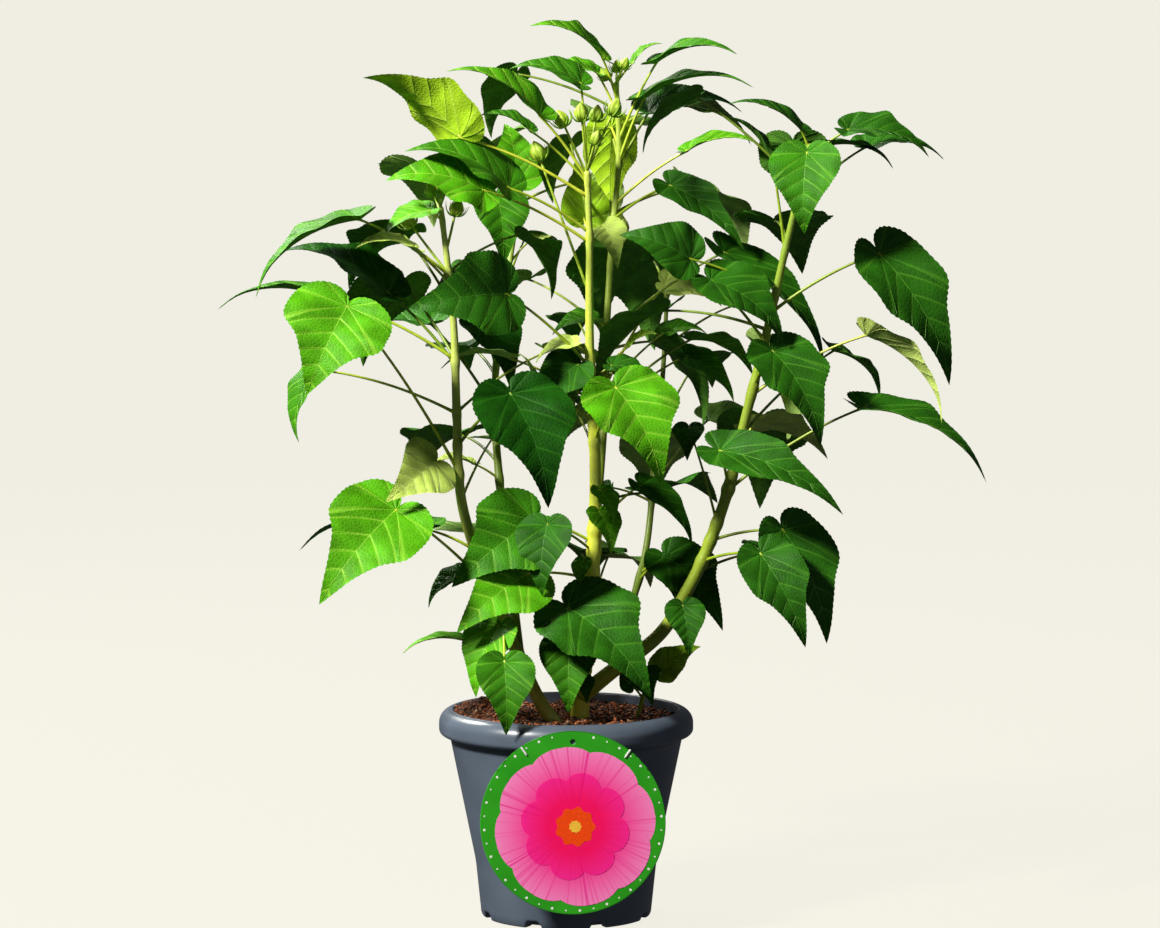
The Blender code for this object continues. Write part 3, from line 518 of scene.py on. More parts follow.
def streaked(name, inner, outer, streak, reach):
    """Ink that changes from foot to tip with the distance from the rosette's middle, under
    fine rays that follow the angle round it."""
    ink = Finish(name, {"Roughness": 0.3, "Coat Weight": 0.4})
    middle = (-ROSETTE[0] - LABEL_MIDDLE[0], 0, -ROSETTE[1] - LABEL_MIDDLE[1])
    centred = ink.add("Mapping", {"Vector": ink.add("TexCoord", {}, "Object"), "Location": middle},
                      "Vector")
    flat = ink.add("VectorMath", {0: centred, 1: (1, 0, 1)}, "Vector", operation="MULTIPLY")
    away = ink.add("VectorMath", {0: flat}, "Value", operation="LENGTH")
    way = ink.add("VectorMath", {0: flat}, "Vector", operation="NORMALIZE")
    rays = ink.add("TexNoise", {"Vector": way, "Scale": 26, "Detail": 1}, "Fac")
    shades = ink.ramp(ink.work("DIVIDE", away, reach), (0.5, inner), (1, outer))
    lines = ink.ramp(rays, (0.54, (0, 0, 0)), (0.76, (1, 1, 1)))
    ink.feed(ink.shader, {"Base Color": ink.mix(lines, shades, (*streak, 1))})
    return ink


def build_rosette():
    """Two rings of eight petals, a round eye and a pip at its middle, each a layer above the last.
    """
    petal_grid = grid_triangles(PETAL_STEPS, PETAL_SIDES, False)
    rings = (
        ("petals_outer", OUTER_REACH, 60 * MM, PETAL_START,
         streaked("ink_pink", (0.95, 0.003, 0.25), (0.93, 0.24, 0.56), (0.80, 0.005, 0.26),
                  OUTER_REACH)),
        ("petals_inner", INNER_REACH, 32 * MM, PETAL_START + math.pi / PETALS,
         streaked("ink_rose", (0.95, 0.003, 0.12), (0.95, 0.02, 0.30), (0.80, 0.003, 0.16),
                  INNER_REACH)),
    )
    layer = 1
    for name, reach, width, start, ink in rings:
        parts = []
        for number in range(PETALS):
            way = start + math.tau * number / PETALS
            parts.append(petal(way, reach, width, INK * (layer + number * 0.5)))
        layer += PETALS * 0.5
        points = np.vstack(parts)
        triangles = np.vstack([petal_grid + len(parts[0]) * i for i in range(PETALS)])
        put_together(name, points, triangles, [ink], "label_card")
    turn = round_angles(EYE_SIDES)
    lobes = 1 + 0.08 * np.cos(9 * turn)
    for name, radius, shade in (("rosette_eye", 16 * MM, (0.95, 0.07, 0.004)),
                                ("rosette_pip", 5 * MM, (0.95, 0.55, 0.05))):
        layer += 1
        rim = on_card(ROSETTE[0] + radius * lobes * np.cos(turn),
                      ROSETTE[1] + radius * lobes * np.sin(turn), INK * layer)
        hub = on_card(*np.array(ROSETTE)[:, None], INK * layer)
        triangles = fan_triangles(EYE_SIDES, np.arange(EYE_SIDES), True)
        put_together(name, np.vstack((rim, hub)), triangles,
                     [lit_and_shaded(f"{name}_ink", shade, 0.8, 500, 0.3)], "label_card")


def build_dots():
    """White dots in a ring just inside the card's edge, left open by the eyelet."""
    spots = np.arange(DOTS) * math.tau / DOTS + math.tau / DOTS / 2
    spots = spots[np.abs(spots - math.pi / 2) > 0.2]
    turn = round_angles(DOT_SIDES)
    radius = np.where(np.arange(len(spots)) % 2, 0.7 * MM, 1.1 * MM)[:, None]
    away = LABEL_WIDTH / 2 - DOTS_IN
    x = away * np.cos(spots)[:, None] + radius * np.cos(turn)
    z = away * np.sin(spots)[:, None] + radius * np.sin(turn)
    rims = on_card(x, z, INK).reshape(-1, 3)
    hubs = on_card(away * np.cos(spots), away * np.sin(spots), INK)
    around = np.arange(DOT_SIDES)
    triangles = np.vstack([fan_triangles(len(rims) + i, around + DOT_SIDES * i, True)
                           for i in range(len(spots))])
    white = mottled("ink_white", (0.75, 0.75, 0.72), (0.85, 0.85, 0.82), 400, 0.35)
    put_together("label_dots", np.vstack((rims, hubs)), triangles, [white], "label_card")


def build_ties():
    """Each tie is a flat strip whose rounded ends follow a superellipse of its length."""
    film = mottled("tie_film", (0.62, 0.66, 0.62), (0.78, 0.80, 0.76), 300, 0.25)
    level, turn = np.linspace(-1, 1, TIE_RINGS), round_angles(TIE_SIDES)
    bulge = (1 - np.abs(level) ** 6)[:, None] ** 0.5 + 0.02
    before = LABEL_FRONT - 0.3 * MM - TIE_WIDE / 4
    for side, (right, above, lean) in zip(("left", "right"), TIE_PLACES):
        x, z = swung(TIE_WIDE / 2 * bulge * np.cos(turn), (TIE_LONG / 2 * level)[:, None],
                     -math.radians(lean))
        points = np.stack((LABEL_MIDDLE[0] + right + x,
                           before + TIE_WIDE / 4 * bulge * np.sin(turn),
                           LABEL_MIDDLE[1] + above + z), axis=2).reshape(-1, 3)
        ends = [points[:TIE_SIDES].mean(axis=0), points[-TIE_SIDES:].mean(axis=0)]
        put_together(f"tie_{side}", np.vstack((points, ends)), capped(TIE_RINGS, TIE_SIDES),
                     [film], "label_tie", [f"label_tie_{side}"])


build_card()
build_rosette()
build_dots()
build_ties()


# ---- Canes ----
# Soft green shoots of one season that fork low down. Each swells a little where a leaf is
# borne, and its smooth bark is ribbed faintly lengthwise. Each is one limb from foot to tip.

# Stops are places of a cane's middle, and thick is its width at foot and tip, in millimetres.
CANES = {
    "centre": dict(
        stops=((11, 3, 150), (15, 2, 234), (23, -4, 304), (25, -9, 395), (21, -14, 465),
               (20, -19, 530), (20, -24, 590), (18, -30, 645)),
        thick=(15, 4.5), grows_from=None),
    "left": dict(
        stops=((4, -14, 150), (-22, -18, 188), (-36, -20, 218), (-54, -24, 262),
               (-88, -30, 357), (-93, -33, 440), (-95, -36, 510), (-106, -42, 617)),
        thick=(12, 4.5), grows_from=None),
    "right": dict(
        stops=((13, 2, 190), (39, -4, 212), (77, -12, 242), (104, -18, 284), (132, -26, 351),
               (155, -38, 443), (173, -46, 520), (188, -54, 590), (206, -62, 668)),
        thick=(12.5, 4.5), grows_from="centre"),
    "centre_back": dict(
        stops=((24, -4, 326), (28, 26, 366), (33, 54, 430), (35, 74, 495), (41, 94, 592),
               (46, 102, 650), (44, 106, 722)),
        thick=(8, 4), grows_from="centre"),
    "left_back": dict(
        stops=((-41, -21, 229), (-48, 16, 290), (-58, 50, 369), (-63, 76, 443),
               (-59, 98, 504), (-48, 118, 575), (-40, 128, 625)),
        thick=(9, 4), grows_from="left"),
    "right_back": dict(
        stops=((44, -5, 215), (55, 36, 258), (68, 70, 300), (77, 98, 365), (86, 126, 465),
               (90, 142, 540)),
        thick=(7, 3.5), grows_from="right"),
    "low_shoot": dict(
        stops=((56, 8, 150), (62, 5, 172), (67, 2, 190), (72, 2, 208)),
        thick=(5, 3), grows_from=None),
}

# The solids that a cane is split into, each with the height in millimetres that it ends at.
PIECES = {
    "centre": (("cane_centre", 199), ("leaves_centre_low", 390), ("leaves_centre_middle", 560),
               ("leaves_centre_top", None)),
    "left": (("cane_left", 206), ("leaves_left_low", 345), ("leaves_left_middle", 500),
             ("leaves_left_top", None)),
    "right": (("cane_right", 262), ("leaves_right_low", 400), ("leaves_right_middle", 545),
              ("leaves_right_top", None)),
    "centre_back": (("cane_centre_back", 402), ("leaves_centre_back_low", 580),
                    ("leaves_centre_back_top", None)),
    "left_back": (("cane_left_back", 350), ("leaves_left_back_low", 500),
                  ("leaves_left_back_top", None)),
    "right_back": (("cane_right_back", 280), ("leaves_right_back_low", 385),
                   ("leaves_right_back_top", None)),
    "low_shoot": (("cane_low_shoot", 181), ("leaves_low_shoot", None)),
}

# Each row: the height on its cane, way round, stalk's length and rise, blade's length and pitch,
# turn from the stalk's way, roll, width against the usual, and tint, which is the light or shade
# painted into the leaf's greens. Millimetres and degrees.
LEAVES = {
    "centre": (
        (212, 250, 45, 42, 62, -72, 20, 0, 1, "half_lit"),
        (213, 268, 22, -10, 26, -50, 20, 0, 1, "in_shade"),
        (226, 250, 60, 50, 108, -40, 80, 35, 1, "in_shade"),
        (292, 208, 62, 8, 84, -32, 5, 50, 1, "sunlit"),
        (300, 240, 18, 35, 24, -75, 0, 0, 1, "sunlit"),
        (316, 222, 60, 28, 62, -74, 30, 0, 1, "in_shade"),
        (324, 197, 58, 22, 94, -34, 10, 60, 1, "half_lit"),
        (334, 285, 24, 50, 40, -58, 15, 0, 1, "sunlit"),
        (337, 15, 54, 42, 70, -46, -30, 20, 0.7, "in_shade"),
        (352, 290, 22, 60, 34, -56, 20, 0, 1, "sunlit"),
        (412, 290, 72, 44, 92, -58, 34, 28, 1.1, "sunlit"),
        (430, 190, 60, 26, 34, 76, 0, 20, 1, "backlit_glow"),
        (462, 350, 24, 42, 40, -22, 0, 25, 1, "in_shade"),
        (470, 200, 14, 40, 58, -46, -10, 50, 1, "in_shade"),
        (476, 202, 100, 40, 90, -6, 4, 72, 1, "in_shade"),
        (484, 180, 18, 45, 38, -24, 0, 20, 1, "backlit_glow"),
        (583, 184, 102, 26, 84, 8, -4, 42, 1, "sunlit"),
        (588, 100, 30, 28, 54, 66, 10, 0, 1, "backlit"),
        (592, 197, 80, 28, 94, 22, -10, 25, 1, "half_lit"),
        (622, 176, 120, 25, 98, 33, 8, -34, 0.85, "backlit"),
        (634, 186, 66, 42, 46, 18, 0, 15, 1, "half_lit"),
        (637, 196, 68, 52, 88, 28, -16, 14, 0.9, "sunlit"),
        (642, 165, 76, 86, 62, 14, 15, 28, 0.8, "half_lit"),
    ),
    "left": (
        (218, 192, 50, 26, 62, -4, 0, 2, 0.7, "sunlit"),
        (232, 240, 40, 40, 64, -68, -30, 25, 1, "sunlit"),
        (262, 272, 76, -22, 62, -76, 5, 0, 1, "half_lit"),
        (284, 205, 116, 40, 108, -42, 14, 45, 0.95, "sunlit"),
        (290, 185, 26, 25, 42, -44, 0, 20, 1, "half_lit"), (320, 172, 48, 22, 112, -8, 0, 0, 1, "half_lit"),
        (384, 205, 26, 30, 62, -28, 20, 60, 1.1, "backlit_glow"),
        (410, 318, 78, 38, 104, -62, -4, 20, 1, "in_deep_shade"),
        (388, 209, 178, 54, 84, -58, 14, 45, 1.3, "sunlit"),
        (438, 188, 124, 18, 64, -72, 8, 10, 1, "half_lit"),
        (484, 184, 116, 26, 98, -2, -2, 2, 0.6, "half_lit"),
        (480, 164, 84, 45, 104, 22, 8, 15, 0.85, "in_deep_shade"),
        (548, 205, 46, 42, 52, 4, 0, 15, 1, "backlit_glow"),
        (556, 190, 90, 32, 110, -34, 0, 2, 0.8, "half_lit"),
        (602, 192, 14, 40, 48, -28, 0, 20, 1, "sunlit"),
    ),
    "right": (
        (268, 290, 14, 20, 44, -70, 0, 10, 1, "in_shade"),
        (310, 316, 68, 10, 88, -60, 14, 45, 0.75, "in_shade"),
        (328, 346, 64, 10, 104, -66, -8, 42, 0.75, "in_shade"),
        (343, 205, 88, 72, 34, -50, 60, 0, 1, "in_shade"),
        (372, 350, 136, 32, 122, -28, 0, 10, 0.62, "in_shade"),
        (374, 258, 58, 38, 118, -24, 86, 42, 0.5, "in_shade"),
        (384, 58, 52, 50, 76, -20, -40, -20, 1, "backlit_glow"),
        (462, 292, 50, 40, 92, -56, 30, 25, 0.85, "in_shade"),
        (454, 346, 112, 28, 98, -46, 0, -18, 0.9, "backlit_glow"),
        (500, 205, 74, 46, 82, -38, 140, 30, 1, "in_shade"),
        (525, 350, 104, 29, 126, -60, 0, 52, 0.65, "in_shade"),
        (538, 192, 80, 24, 64, 20, -8, 60, 1, "in_shade"),
        (576, 186, 70, 82, 64, 48, 0, 10, 1, "in_shade"),
        (648, 20, 30, 38, 58, -18, -10, 0, 0.8, "in_shade"),
        (652, 352, 44, 38, 72, -16, 0, 20, 1, "in_shade"),
        (662, 184, 18, 68, 66, 22, 0, 16, 0.65, "in_shade"),
        (664, 262, 26, -8, 68, -78, -6, 0, 1.1, "half_lit"),
    ),
    "centre_back": (
        (430, 350, 90, 36, 58, -42, 0, 30, 0.75, "half_lit"),
        (450, 10, 75, 44, 38, -2, 0, 20, 1, "half_lit"),
        (454, 20, 106, 58, 54, -20, -20, 35, 1, "backlit_glow"),
        (470, 330, 32, 40, 30, 24, 0, 30, 1, "backlit"),
        (496, 346, 130, 36, 134, -46, 0, 20, 0.48, "in_shade"),
        (504, 200, 14, 40, 42, -16, 0, 20, 1, "half_lit"), (560, 90, 26, 60, 46, 60, 0, -20, 1, "backlit_glow"),
        (590, 235, 16, 20, 48, -50, 60, 10, 0.9, "backlit_glow"),
        (600, 330, 64, 28, 92, -36, 0, 38, 0.5, "in_shade"),
        (613, 348, 80, 36, 66, 6, 0, 15, 0.7, "sunlit"),
        (640, 28, 62, 60, 88, 2, -12, 18, 0.85, "in_shade"),
        (650, 350, 60, 68, 98, 8, 0, 8, 0.6, "half_lit"),
        (662, 115, 24, 50, 84, -80, -22, 0, 0.7, "backlit"),
        (669, 342, 76, 63, 74, 8, 0, 12, 0.9, "half_lit"),
        (690, 188, 42, 64, 46, 4, 0, 18, 1, "sunlit"),
        (704, 228, 42, 62, 74, 24, -24, 24, 0.8, "sunlit"),
        (719, 10, 24, 50, 30, 36, -14, 15, 1, "sunlit"),
    ),
    "left_back": (
        (374, 205, 30, 30, 38, 2, 0, 10, 1, "backlit_glow"), (424, 300, 36, 30, 46, 30, 0, 20, 1, "backlit_glow"),
        (470, 240, 50, 60, 70, -56, 75, 10, 1, "in_deep_shade"),
        (520, 235, 44, 52, 54, -24, -30, 20, 1, "in_shade"),
        (560, 40, 30, 40, 34, 0, 0, 10, 1, "backlit_glow"), (598, 252, 58, 24, 64, -72, 36, 0, 1, "half_lit"),
        (622, 110, 14, 40, 62, 60, 0, 0, 1, "sunlit"),
    ),
    "right_back": (
        (284, 320, 28, 40, 40, -56, 0, 20, 1, "in_shade"),
        (290, 330, 30, 34, 84, -46, 0, 32, 0.85, "in_shade"),
        (350, 190, 40, 20, 40, -66, 0, 10, 1, "in_shade"),
    ),
    "low_shoot": (
        (198, 255, 20, 44, 40, -34, 30, 20, 1, "in_shade"),
        (188, 140, 14, 40, 32, 66, 0, 30, 1, "in_shade"), (202, 20, 14, 30, 44, 32, 0, 35, 1, "backlit"),
    ),
}

# Each row: the height on its cane, way round, stalk's length and rise, and the bud's length.
BUDS = {
    "centre": ((539, 180, 122, 70, 19), (640, 150, 48, 62, 17), (643, 250, 46, 74, 17),
               (643, 60, 46, 72, 16), (644, 10, 52, 66, 17), (645, 300, 26, 60, 14)),
    "left": ((556, 180, 52, 53, 17), (576, 345, 32, 76, 17), (614, 200, 12, 60, 13),
             (615, 80, 12, 70, 13), (616, 320, 12, 62, 12)),
    "centre_back": ((714, 200, 12, 50, 13), (718, 90, 12, 72, 12), (720, 320, 14, 60, 12)),
}


def through(stops, values, at):
    """Cubic curve through the stops, its slope at each one taken from its neighbours."""
    slopes = np.gradient(values, stops, axis=0)
    i = np.clip(np.searchsorted(stops, at) - 1, 0, len(stops) - 2)
    shape = np.shape(at) + (1,) * (values.ndim - 1)
    span = (stops[i + 1] - stops[i]).reshape(shape)
    t = (np.asarray(at) - stops[i]).reshape(shape) / span
    return (values[i] * (1 + 2 * t) * (1 - t) ** 2 + slopes[i] * span * t * (1 - t) ** 2
            + values[i + 1] * t * t * (3 - 2 * t) + slopes[i + 1] * span * t * t * (t - 1))


def cane_points(cane, heights):
    """Middles of a cane at heights in millimetres."""
    stops = np.array(CANES[cane]["stops"], float)
    heights = np.asarray(heights, float)
    return np.column_stack((through(stops[:, 2], stops[:, :2], heights), heights)) * MM


def ends(cane):
    """Heights of a cane's foot and tip, in millimetres."""
    stops = CANES[cane]["stops"]
    return stops[0][2], stops[-1][2]


def cane_radii(cane, heights):
    """A cane tapers evenly from foot to tip, with a slight swelling at its foot."""
    foot, tip = CANES[cane]["thick"]
    low, high = ends(cane)
    share = (np.asarray(heights, float) - low) / (high - low)
    return (foot + (tip - foot) * share) * (1 + 0.18 * np.clip(1 - share / 0.1, 0, 1)) * MM / 2


def unit(directions):
    """Directions at length one."""
    return directions / np.linalg.norm(directions, axis=-1, keepdims=True)


def rings_round(middles, side, other, radius, turn):
    """Points of a ring about each middle, in the plane of two directions."""
    return (middles[:, None] + (radius * np.cos(turn))[..., None] * side
            + (radius * np.sin(turn))[..., None] * other).reshape(-1, 3)


def tube(path, radii, sides, ribs=0.0):
    """A closed limb: rings square to the path, ribbed by a cosine of the angle, with a blunt
    point at each end."""
    ahead = unit(np.gradient(path, axis=0))
    side = unit(np.cross(ahead, np.eye(3)[np.argmin(np.abs(path[-1] - path[0]))]))
    turn = round_angles(sides)
    radius = radii[:, None] * (1 + ribs * np.cos(RIB_COUNT * turn))
    points = rings_round(path, side[:, None], np.cross(ahead, side)[:, None], radius, turn)
    tips = (path[0] - ahead[0] * radii[0] * 0.4, path[-1] + ahead[-1] * radii[-1] * 0.6)
    return np.vstack((points, tips)), capped(len(path), sides)


def gather(parts):
    """One set of points and triangles from several, and which part each triangle is from."""
    starts = np.cumsum([0] + [len(points) for points, _ in parts[:-1]])
    triangles = np.vstack([faces + start for (_, faces), start in zip(parts, starts)])
    owner = np.repeat(np.arange(len(parts)), [len(faces) for _, faces in parts])
    return np.vstack([points for points, _ in parts]), triangles, owner


def gathered_piece(name, parts, finish):
    """One foliage piece of several parts in one finish."""
    points, triangles, _ = gather(parts)
    put_together(name, points, triangles, [finish], "foliage")


def cane_bark(name, low_shade, high_shade, low, high):
    """Bark whose shade changes from foot to tip with height, mottled by fine noise. Its two shades
    hold painted light as well as the bark's own greens.
    """
    bark = mottled(name, low_shade, high_shade, 90, 0.42, 420, 0.00035)
    place = bark.add("TexCoord", {}, "Object")
    height = bark.add("SeparateXYZ", {"Vector": place}, "Z")
    climb = bark.add("MapRange", {"Value": height, "From Min": low, "From Max": high}, "Result")
    plain = bark.mix(climb, (*low_shade, 1), (*high_shade, 1))
    bark.feed(bark.shader, {"Base Color": bark.mix(0.3, plain, bark.shade)})
    return bark


RIB_COUNT = 5
RIB_DEEP = 0.02  # of the radius
CANE_SIDES = 20
CANE_RINGS_EVERY = 2.5  # millimetres
NODE_SWELLING = 0.16  # of the radius
NODE_REACH = 4.5  # millimetres
# Foot and tip greens of each cane. They are partly the bark's own greens and partly painted light:
# the sunlit foot of the centre cane is a light yellow-green, the left cane is lighter, and the
# right cane, the low shoot and the rear canes low down are painted darker, for the shade they stand
# in.
CANE_GREENS_AND_LIGHT = {
    "centre": ((0.80, 0.80, 0.04), (0.52, 0.68, 0.12)),
    "left": ((0.42, 0.52, 0.05), (0.54, 0.64, 0.16)),
    "right": ((0.34, 0.44, 0.03), (0.24, 0.38, 0.04)),
    "centre_back": ((0.18, 0.27, 0.02), (0.48, 0.62, 0.08)),
    "left_back": ((0.16, 0.26, 0.03), (0.34, 0.48, 0.07)),
    "right_back": ((0.14, 0.22, 0.02), (0.20, 0.30, 0.03)),
    "low_shoot": ((0.22, 0.30, 0.02), (0.24, 0.36, 0.03)),
}


def build_canes():
    """The radius takes a smooth bump at each height that bears a leaf."""
    for cane, facts in CANES.items():
        low, high = ends(cane)
        inside = -4 if facts["grows_from"] is None else -1
        heights = np.arange(low + inside, high - 1, CANE_RINGS_EVERY)
        radii = cane_radii(cane, heights)
        for row in LEAVES[cane]:
            radii = radii * (1 + NODE_SWELLING * np.exp(-((heights - row[0]) / NODE_REACH) ** 2))
        path = cane_points(cane, np.maximum(heights, low))
        path[:, 2] = heights * MM
        points, triangles = tube(path, radii, CANE_SIDES, RIB_DEEP)
        bark = cane_bark(f"bark_{cane}", *CANE_GREENS_AND_LIGHT[cane], low * MM, high * MM)
        put_together(f"limb_{cane}", points, triangles, [bark], "cane_bark",
                     [name for name, _ in PIECES[cane] if name.startswith("cane")])


build_canes()


# ---- Where the leaves grow ----
# Each leaf is noted by the height at which its cane bears it and by how it is held. Those of
# the far side follow a seeded rule, and only where they have room and lie behind others.

SEED = 41
PIECE_GAP = 0.6
NODE_SPACING = 15
FORK_CLEAR = 22
JOINT_CLEAR = 12
NODE_TURN = 137.5
NODE_CYCLE = 7
FAR_BACKLIT_NODES = (1, 3, 5)  # of a cycle, painted paler as lit through from behind; the others are far
REAR_ARC = (12, 168)
STALK_RANGE = (48, 125)
BLADE_RANGE = (60, 104)
RISE_RANGE = (4, 46)
PITCH_RANGE = (-66, -6)
TRIES = 6
HIDDEN_SHARE = 0.74
HIDDEN_CELL = 13 * MM
EYE_HEIGHT = 700 * MM
EYE_AWAY = 3500 * MM
OUTLINE_ANGLES = np.array((0, 9, 20, 36, 56, 84, 114, 142, 164, 180), float)
OUTLINE_REACH = np.array((1.0, 0.78, 0.635, 0.55, 0.49, 0.41, 0.29, 0.195, 0.115, 0.05))
LOBE_ANGLE = 47
LOBE_WIDTH = 12
LOBE_REACH = 0.05
LOBED_FROM = 72
BLADE_ARCH = 0.13
BLADE_FOLD = 14
STALK_BOW = 0.05
STALK_SUNK = 0.06
CLEAR = 6 * MM
CANE_CLEAR = 3 * MM
NUDGES = (0, 10, -10, 20, -20, 32, -32)


def heading(way, rise):
    """The direction that a way and a rise, both in degrees, point in."""
    way, rise = math.radians(way), math.radians(rise)
    flat = math.cos(rise)
    return np.array((flat * math.cos(way), flat * math.sin(way), math.sin(rise)))


def outline_reach(angles, lobed):
    """Distance of the blade's edge from the stalk's end, by angle from the tip in degrees."""
    angles = np.abs(angles)
    reach = through(OUTLINE_ANGLES, OUTLINE_REACH, angles)
    return reach + lobed * LOBE_REACH * np.exp(-(((angles - LOBE_ANGLE) / LOBE_WIDTH) ** 2))


class Leaf:
    """One leaf: its stalk's foot and end, the directions that carry its blade, and its tint."""

    def __init__(self, cane, row, nudge=0):
        height, way, stalk, rise, blade, pitch, turn, roll, wide, tint = row
        way = way + nudge
        self.tint = tint
        self.foot = cane_points(cane, [height])[0]
        self.end = self.foot + stalk * MM * heading(way, rise)
        self.length = blade * MM
        self.lobed = blade >= LOBED_FROM
        self.wide = wide
        self.ahead = heading(way + turn, pitch)
        flat = math.radians(way + turn)
        side = np.array((math.sin(flat), -math.cos(flat), 0.0))
        face = np.cross(side, self.ahead)
        roll = math.radians(roll if math.cos(flat) >= 0 else -roll)
        self.side = side * math.cos(roll) + np.cross(self.ahead, side) * math.sin(roll)
        self.face = face * math.cos(roll) + np.cross(self.ahead, face) * math.sin(roll)

    def at(self, along, across, lift):
        """Points of the blade's own axes, in blade lengths."""
        fold = math.cos(math.radians(BLADE_FOLD))
        return self.end + self.length * (along[..., None] * self.ahead
                                         + across[..., None] * fold * self.side
                                         + lift[..., None] * self.face)

    def surface(self, share, angles):
        """Points of the plain blade at a share of the way to its edge, arched and folded."""
        reach = share * outline_reach(angles, self.lobed)
        along = reach * np.cos(np.radians(angles))
        across = self.wide * reach * np.sin(np.radians(angles))
        arch = BLADE_ARCH * 4 * np.clip(along, 0, 1) * (1 - np.clip(along, 0, 1))
        return self.at(along, across, arch + np.abs(across) * math.sin(math.radians(BLADE_FOLD)))

    def stalk(self, count):
        """Points of the stalk, bowed upwards a little, from its foot to its end."""
        t = np.linspace(0, 1, count)[:, None]
        bow = STALK_BOW * np.linalg.norm(self.end - self.foot) * 4 * t * (1 - t)
        return self.foot + (self.end - self.foot) * t + bow * np.array((0, 0, 1.0))

    def samples(self):
        """Points spread over blade and stalk, which stand for it when clearances are judged."""
        angles, shares = np.meshgrid(np.arange(-180, 180, 7.5), np.linspace(0.12, 1, 9))
        return np.vstack((self.surface(shares.ravel(), angles.ravel()), self.stalk(17)[3:]))


class Bud:
    """A flower bud on its stalk."""

    def __init__(self, cane, row):
        height, way, stalk, rise, size = row
        self.ahead = heading(way, rise)
        self.foot = cane_points(cane, [height])[0]
        self.end = self.foot + self.ahead * stalk * MM
        self.length = size * MM

    def samples(self):
        """Points of the bud's stalk and round its middle."""
        t = np.linspace(0.2, 1, 9)[:, None]
        round_it = np.array([heading(way, rise) for way in range(0, 360, 60)
                             for rise in (-60, 0, 60)])
        middle = self.end + self.ahead * self.length * 0.4
        return np.vstack((self.foot + (self.end - self.foot) * t,
                          middle + round_it * self.length * 0.45))


def piece_spans(cane):
    """(name, low, high) of each piece of a cane, with the gap between two of them."""
    low, tip = ends(cane)
    spans = []
    for name, top in PIECES[cane]:
        high = top or tip
        spans.append((name, low, high))
        low = high + PIECE_GAP
    return spans


def cane_skin(cane, low, high):
    """Points spread over a cane's surface between two heights."""
    ways = np.radians(np.arange(0, 360, 45))
    ring = np.stack((np.cos(ways), np.sin(ways), 0 * ways), axis=1)
    heights = np.arange(low, high + 4, 4)
    middles = cane_points(cane, heights)
    return (middles[:, None] + cane_radii(cane, heights)[:, None, None] * ring).reshape(-1, 3)


def piece_at(cane, height):
    """The name of the piece that a height on a cane belongs to."""
    return next(name for name, low, high in piece_spans(cane) if low <= height <= high)


def is_clear(points, own_mass, placed):
    """True where no point lies near a leaf or cane of another mass, or inside pot or compost."""
    radius = np.hypot(points[:, 0], points[:, 1])
    surface = COMPOST_TOP + heap(points[:, 0], points[:, 1])
    if ((radius < RIM_WIDTH / 2 + 6 * MM) & (points[:, 2] < surface + 4 * MM)).any():
        return False
    over_rim = (radius > RIM_WIDTH / 2 - RIM_ROUND - 4 * MM) & (radius < RIM_WIDTH / 2 + 3 * MM)
    if (over_rim & (points[:, 2] < POT_HEIGHT + 2 * MM)).any():
        return False
    middle = points.mean(axis=0)
    size = np.linalg.norm(points - middle, axis=1).max()
    for mass, clearance, other_middle, other_size, other in placed:
        if mass == own_mass:
            continue
        if np.linalg.norm(middle - other_middle) > size + other_size + clearance:
            continue
        if np.linalg.norm(points[:, None] - other[None], axis=2).min() < clearance:
            return False
    return True


def noted(mass, clearance, points):
    """What later leaves need to keep clear of these points."""
    middle = points.mean(axis=0)
    return mass, clearance, middle, np.linalg.norm(points - middle, axis=1).max(), points


def place_leaf(cane, row, placed):
    """The leaf of a row at its first clear nudge, or None where there is none."""
    mass = piece_at(cane, row[0])
    for nudge in NUDGES:
        leaf = Leaf(cane, row, nudge)
        points = leaf.samples()
        if is_clear(points, mass, placed):
            placed.append(noted(mass, CLEAR, points))
            return leaf
    return None


def seen_cells(points):
    """Codes of the cells that points fall in, seen from the label's side and a little above."""
    nearer = EYE_AWAY / (EYE_AWAY + points[:, 1])
    across = points[:, 0] * nearer
    up = EYE_HEIGHT + (points[:, 2] - EYE_HEIGHT) * nearer
    return np.round(across / HIDDEN_CELL) * 1000 + np.round(up / HIDDEN_CELL)


def rear_nodes(cane, rng):
    """For each node of a cane, a fixed turn on from the last, the rows that it may bear."""
    low = PIECES[cane][0][1] + 8
    high = ends(cane)[1] - 6
    forks = [ends(other)[0] for other in CANES if CANES[other]["grows_from"] == cane]
    joints = [top for name, top in PIECES[cane] if top]
    way = rng.uniform(0, 360)
    for height in np.arange(low, high, NODE_SPACING):
        way = (way + NODE_TURN) % 360
        # Painted light: at some nodes of each cycle the rear leaves get a paler green, as if lit
        # through from behind; at the rest they keep the darker far green.
        tint = "far_backlit" if height // NODE_SPACING % NODE_CYCLE in FAR_BACKLIT_NODES else "far"
        rows = [(float(height), way + rng.uniform(-20, 20), rng.uniform(*STALK_RANGE),
                 rng.uniform(*RISE_RANGE), rng.uniform(*BLADE_RANGE), rng.uniform(*PITCH_RANGE),
                 rng.uniform(-25, 25), rng.uniform(-20, 20), 1, tint) for _ in range(TRIES)]
        near_fork = any(abs(height - fork) < FORK_CLEAR for fork in forks)
        near_joint = any(abs(height - joint) < JOINT_CLEAR for joint in joints)
        if REAR_ARC[0] < way < REAR_ARC[1] and not near_fork and not near_joint:
            yield rows


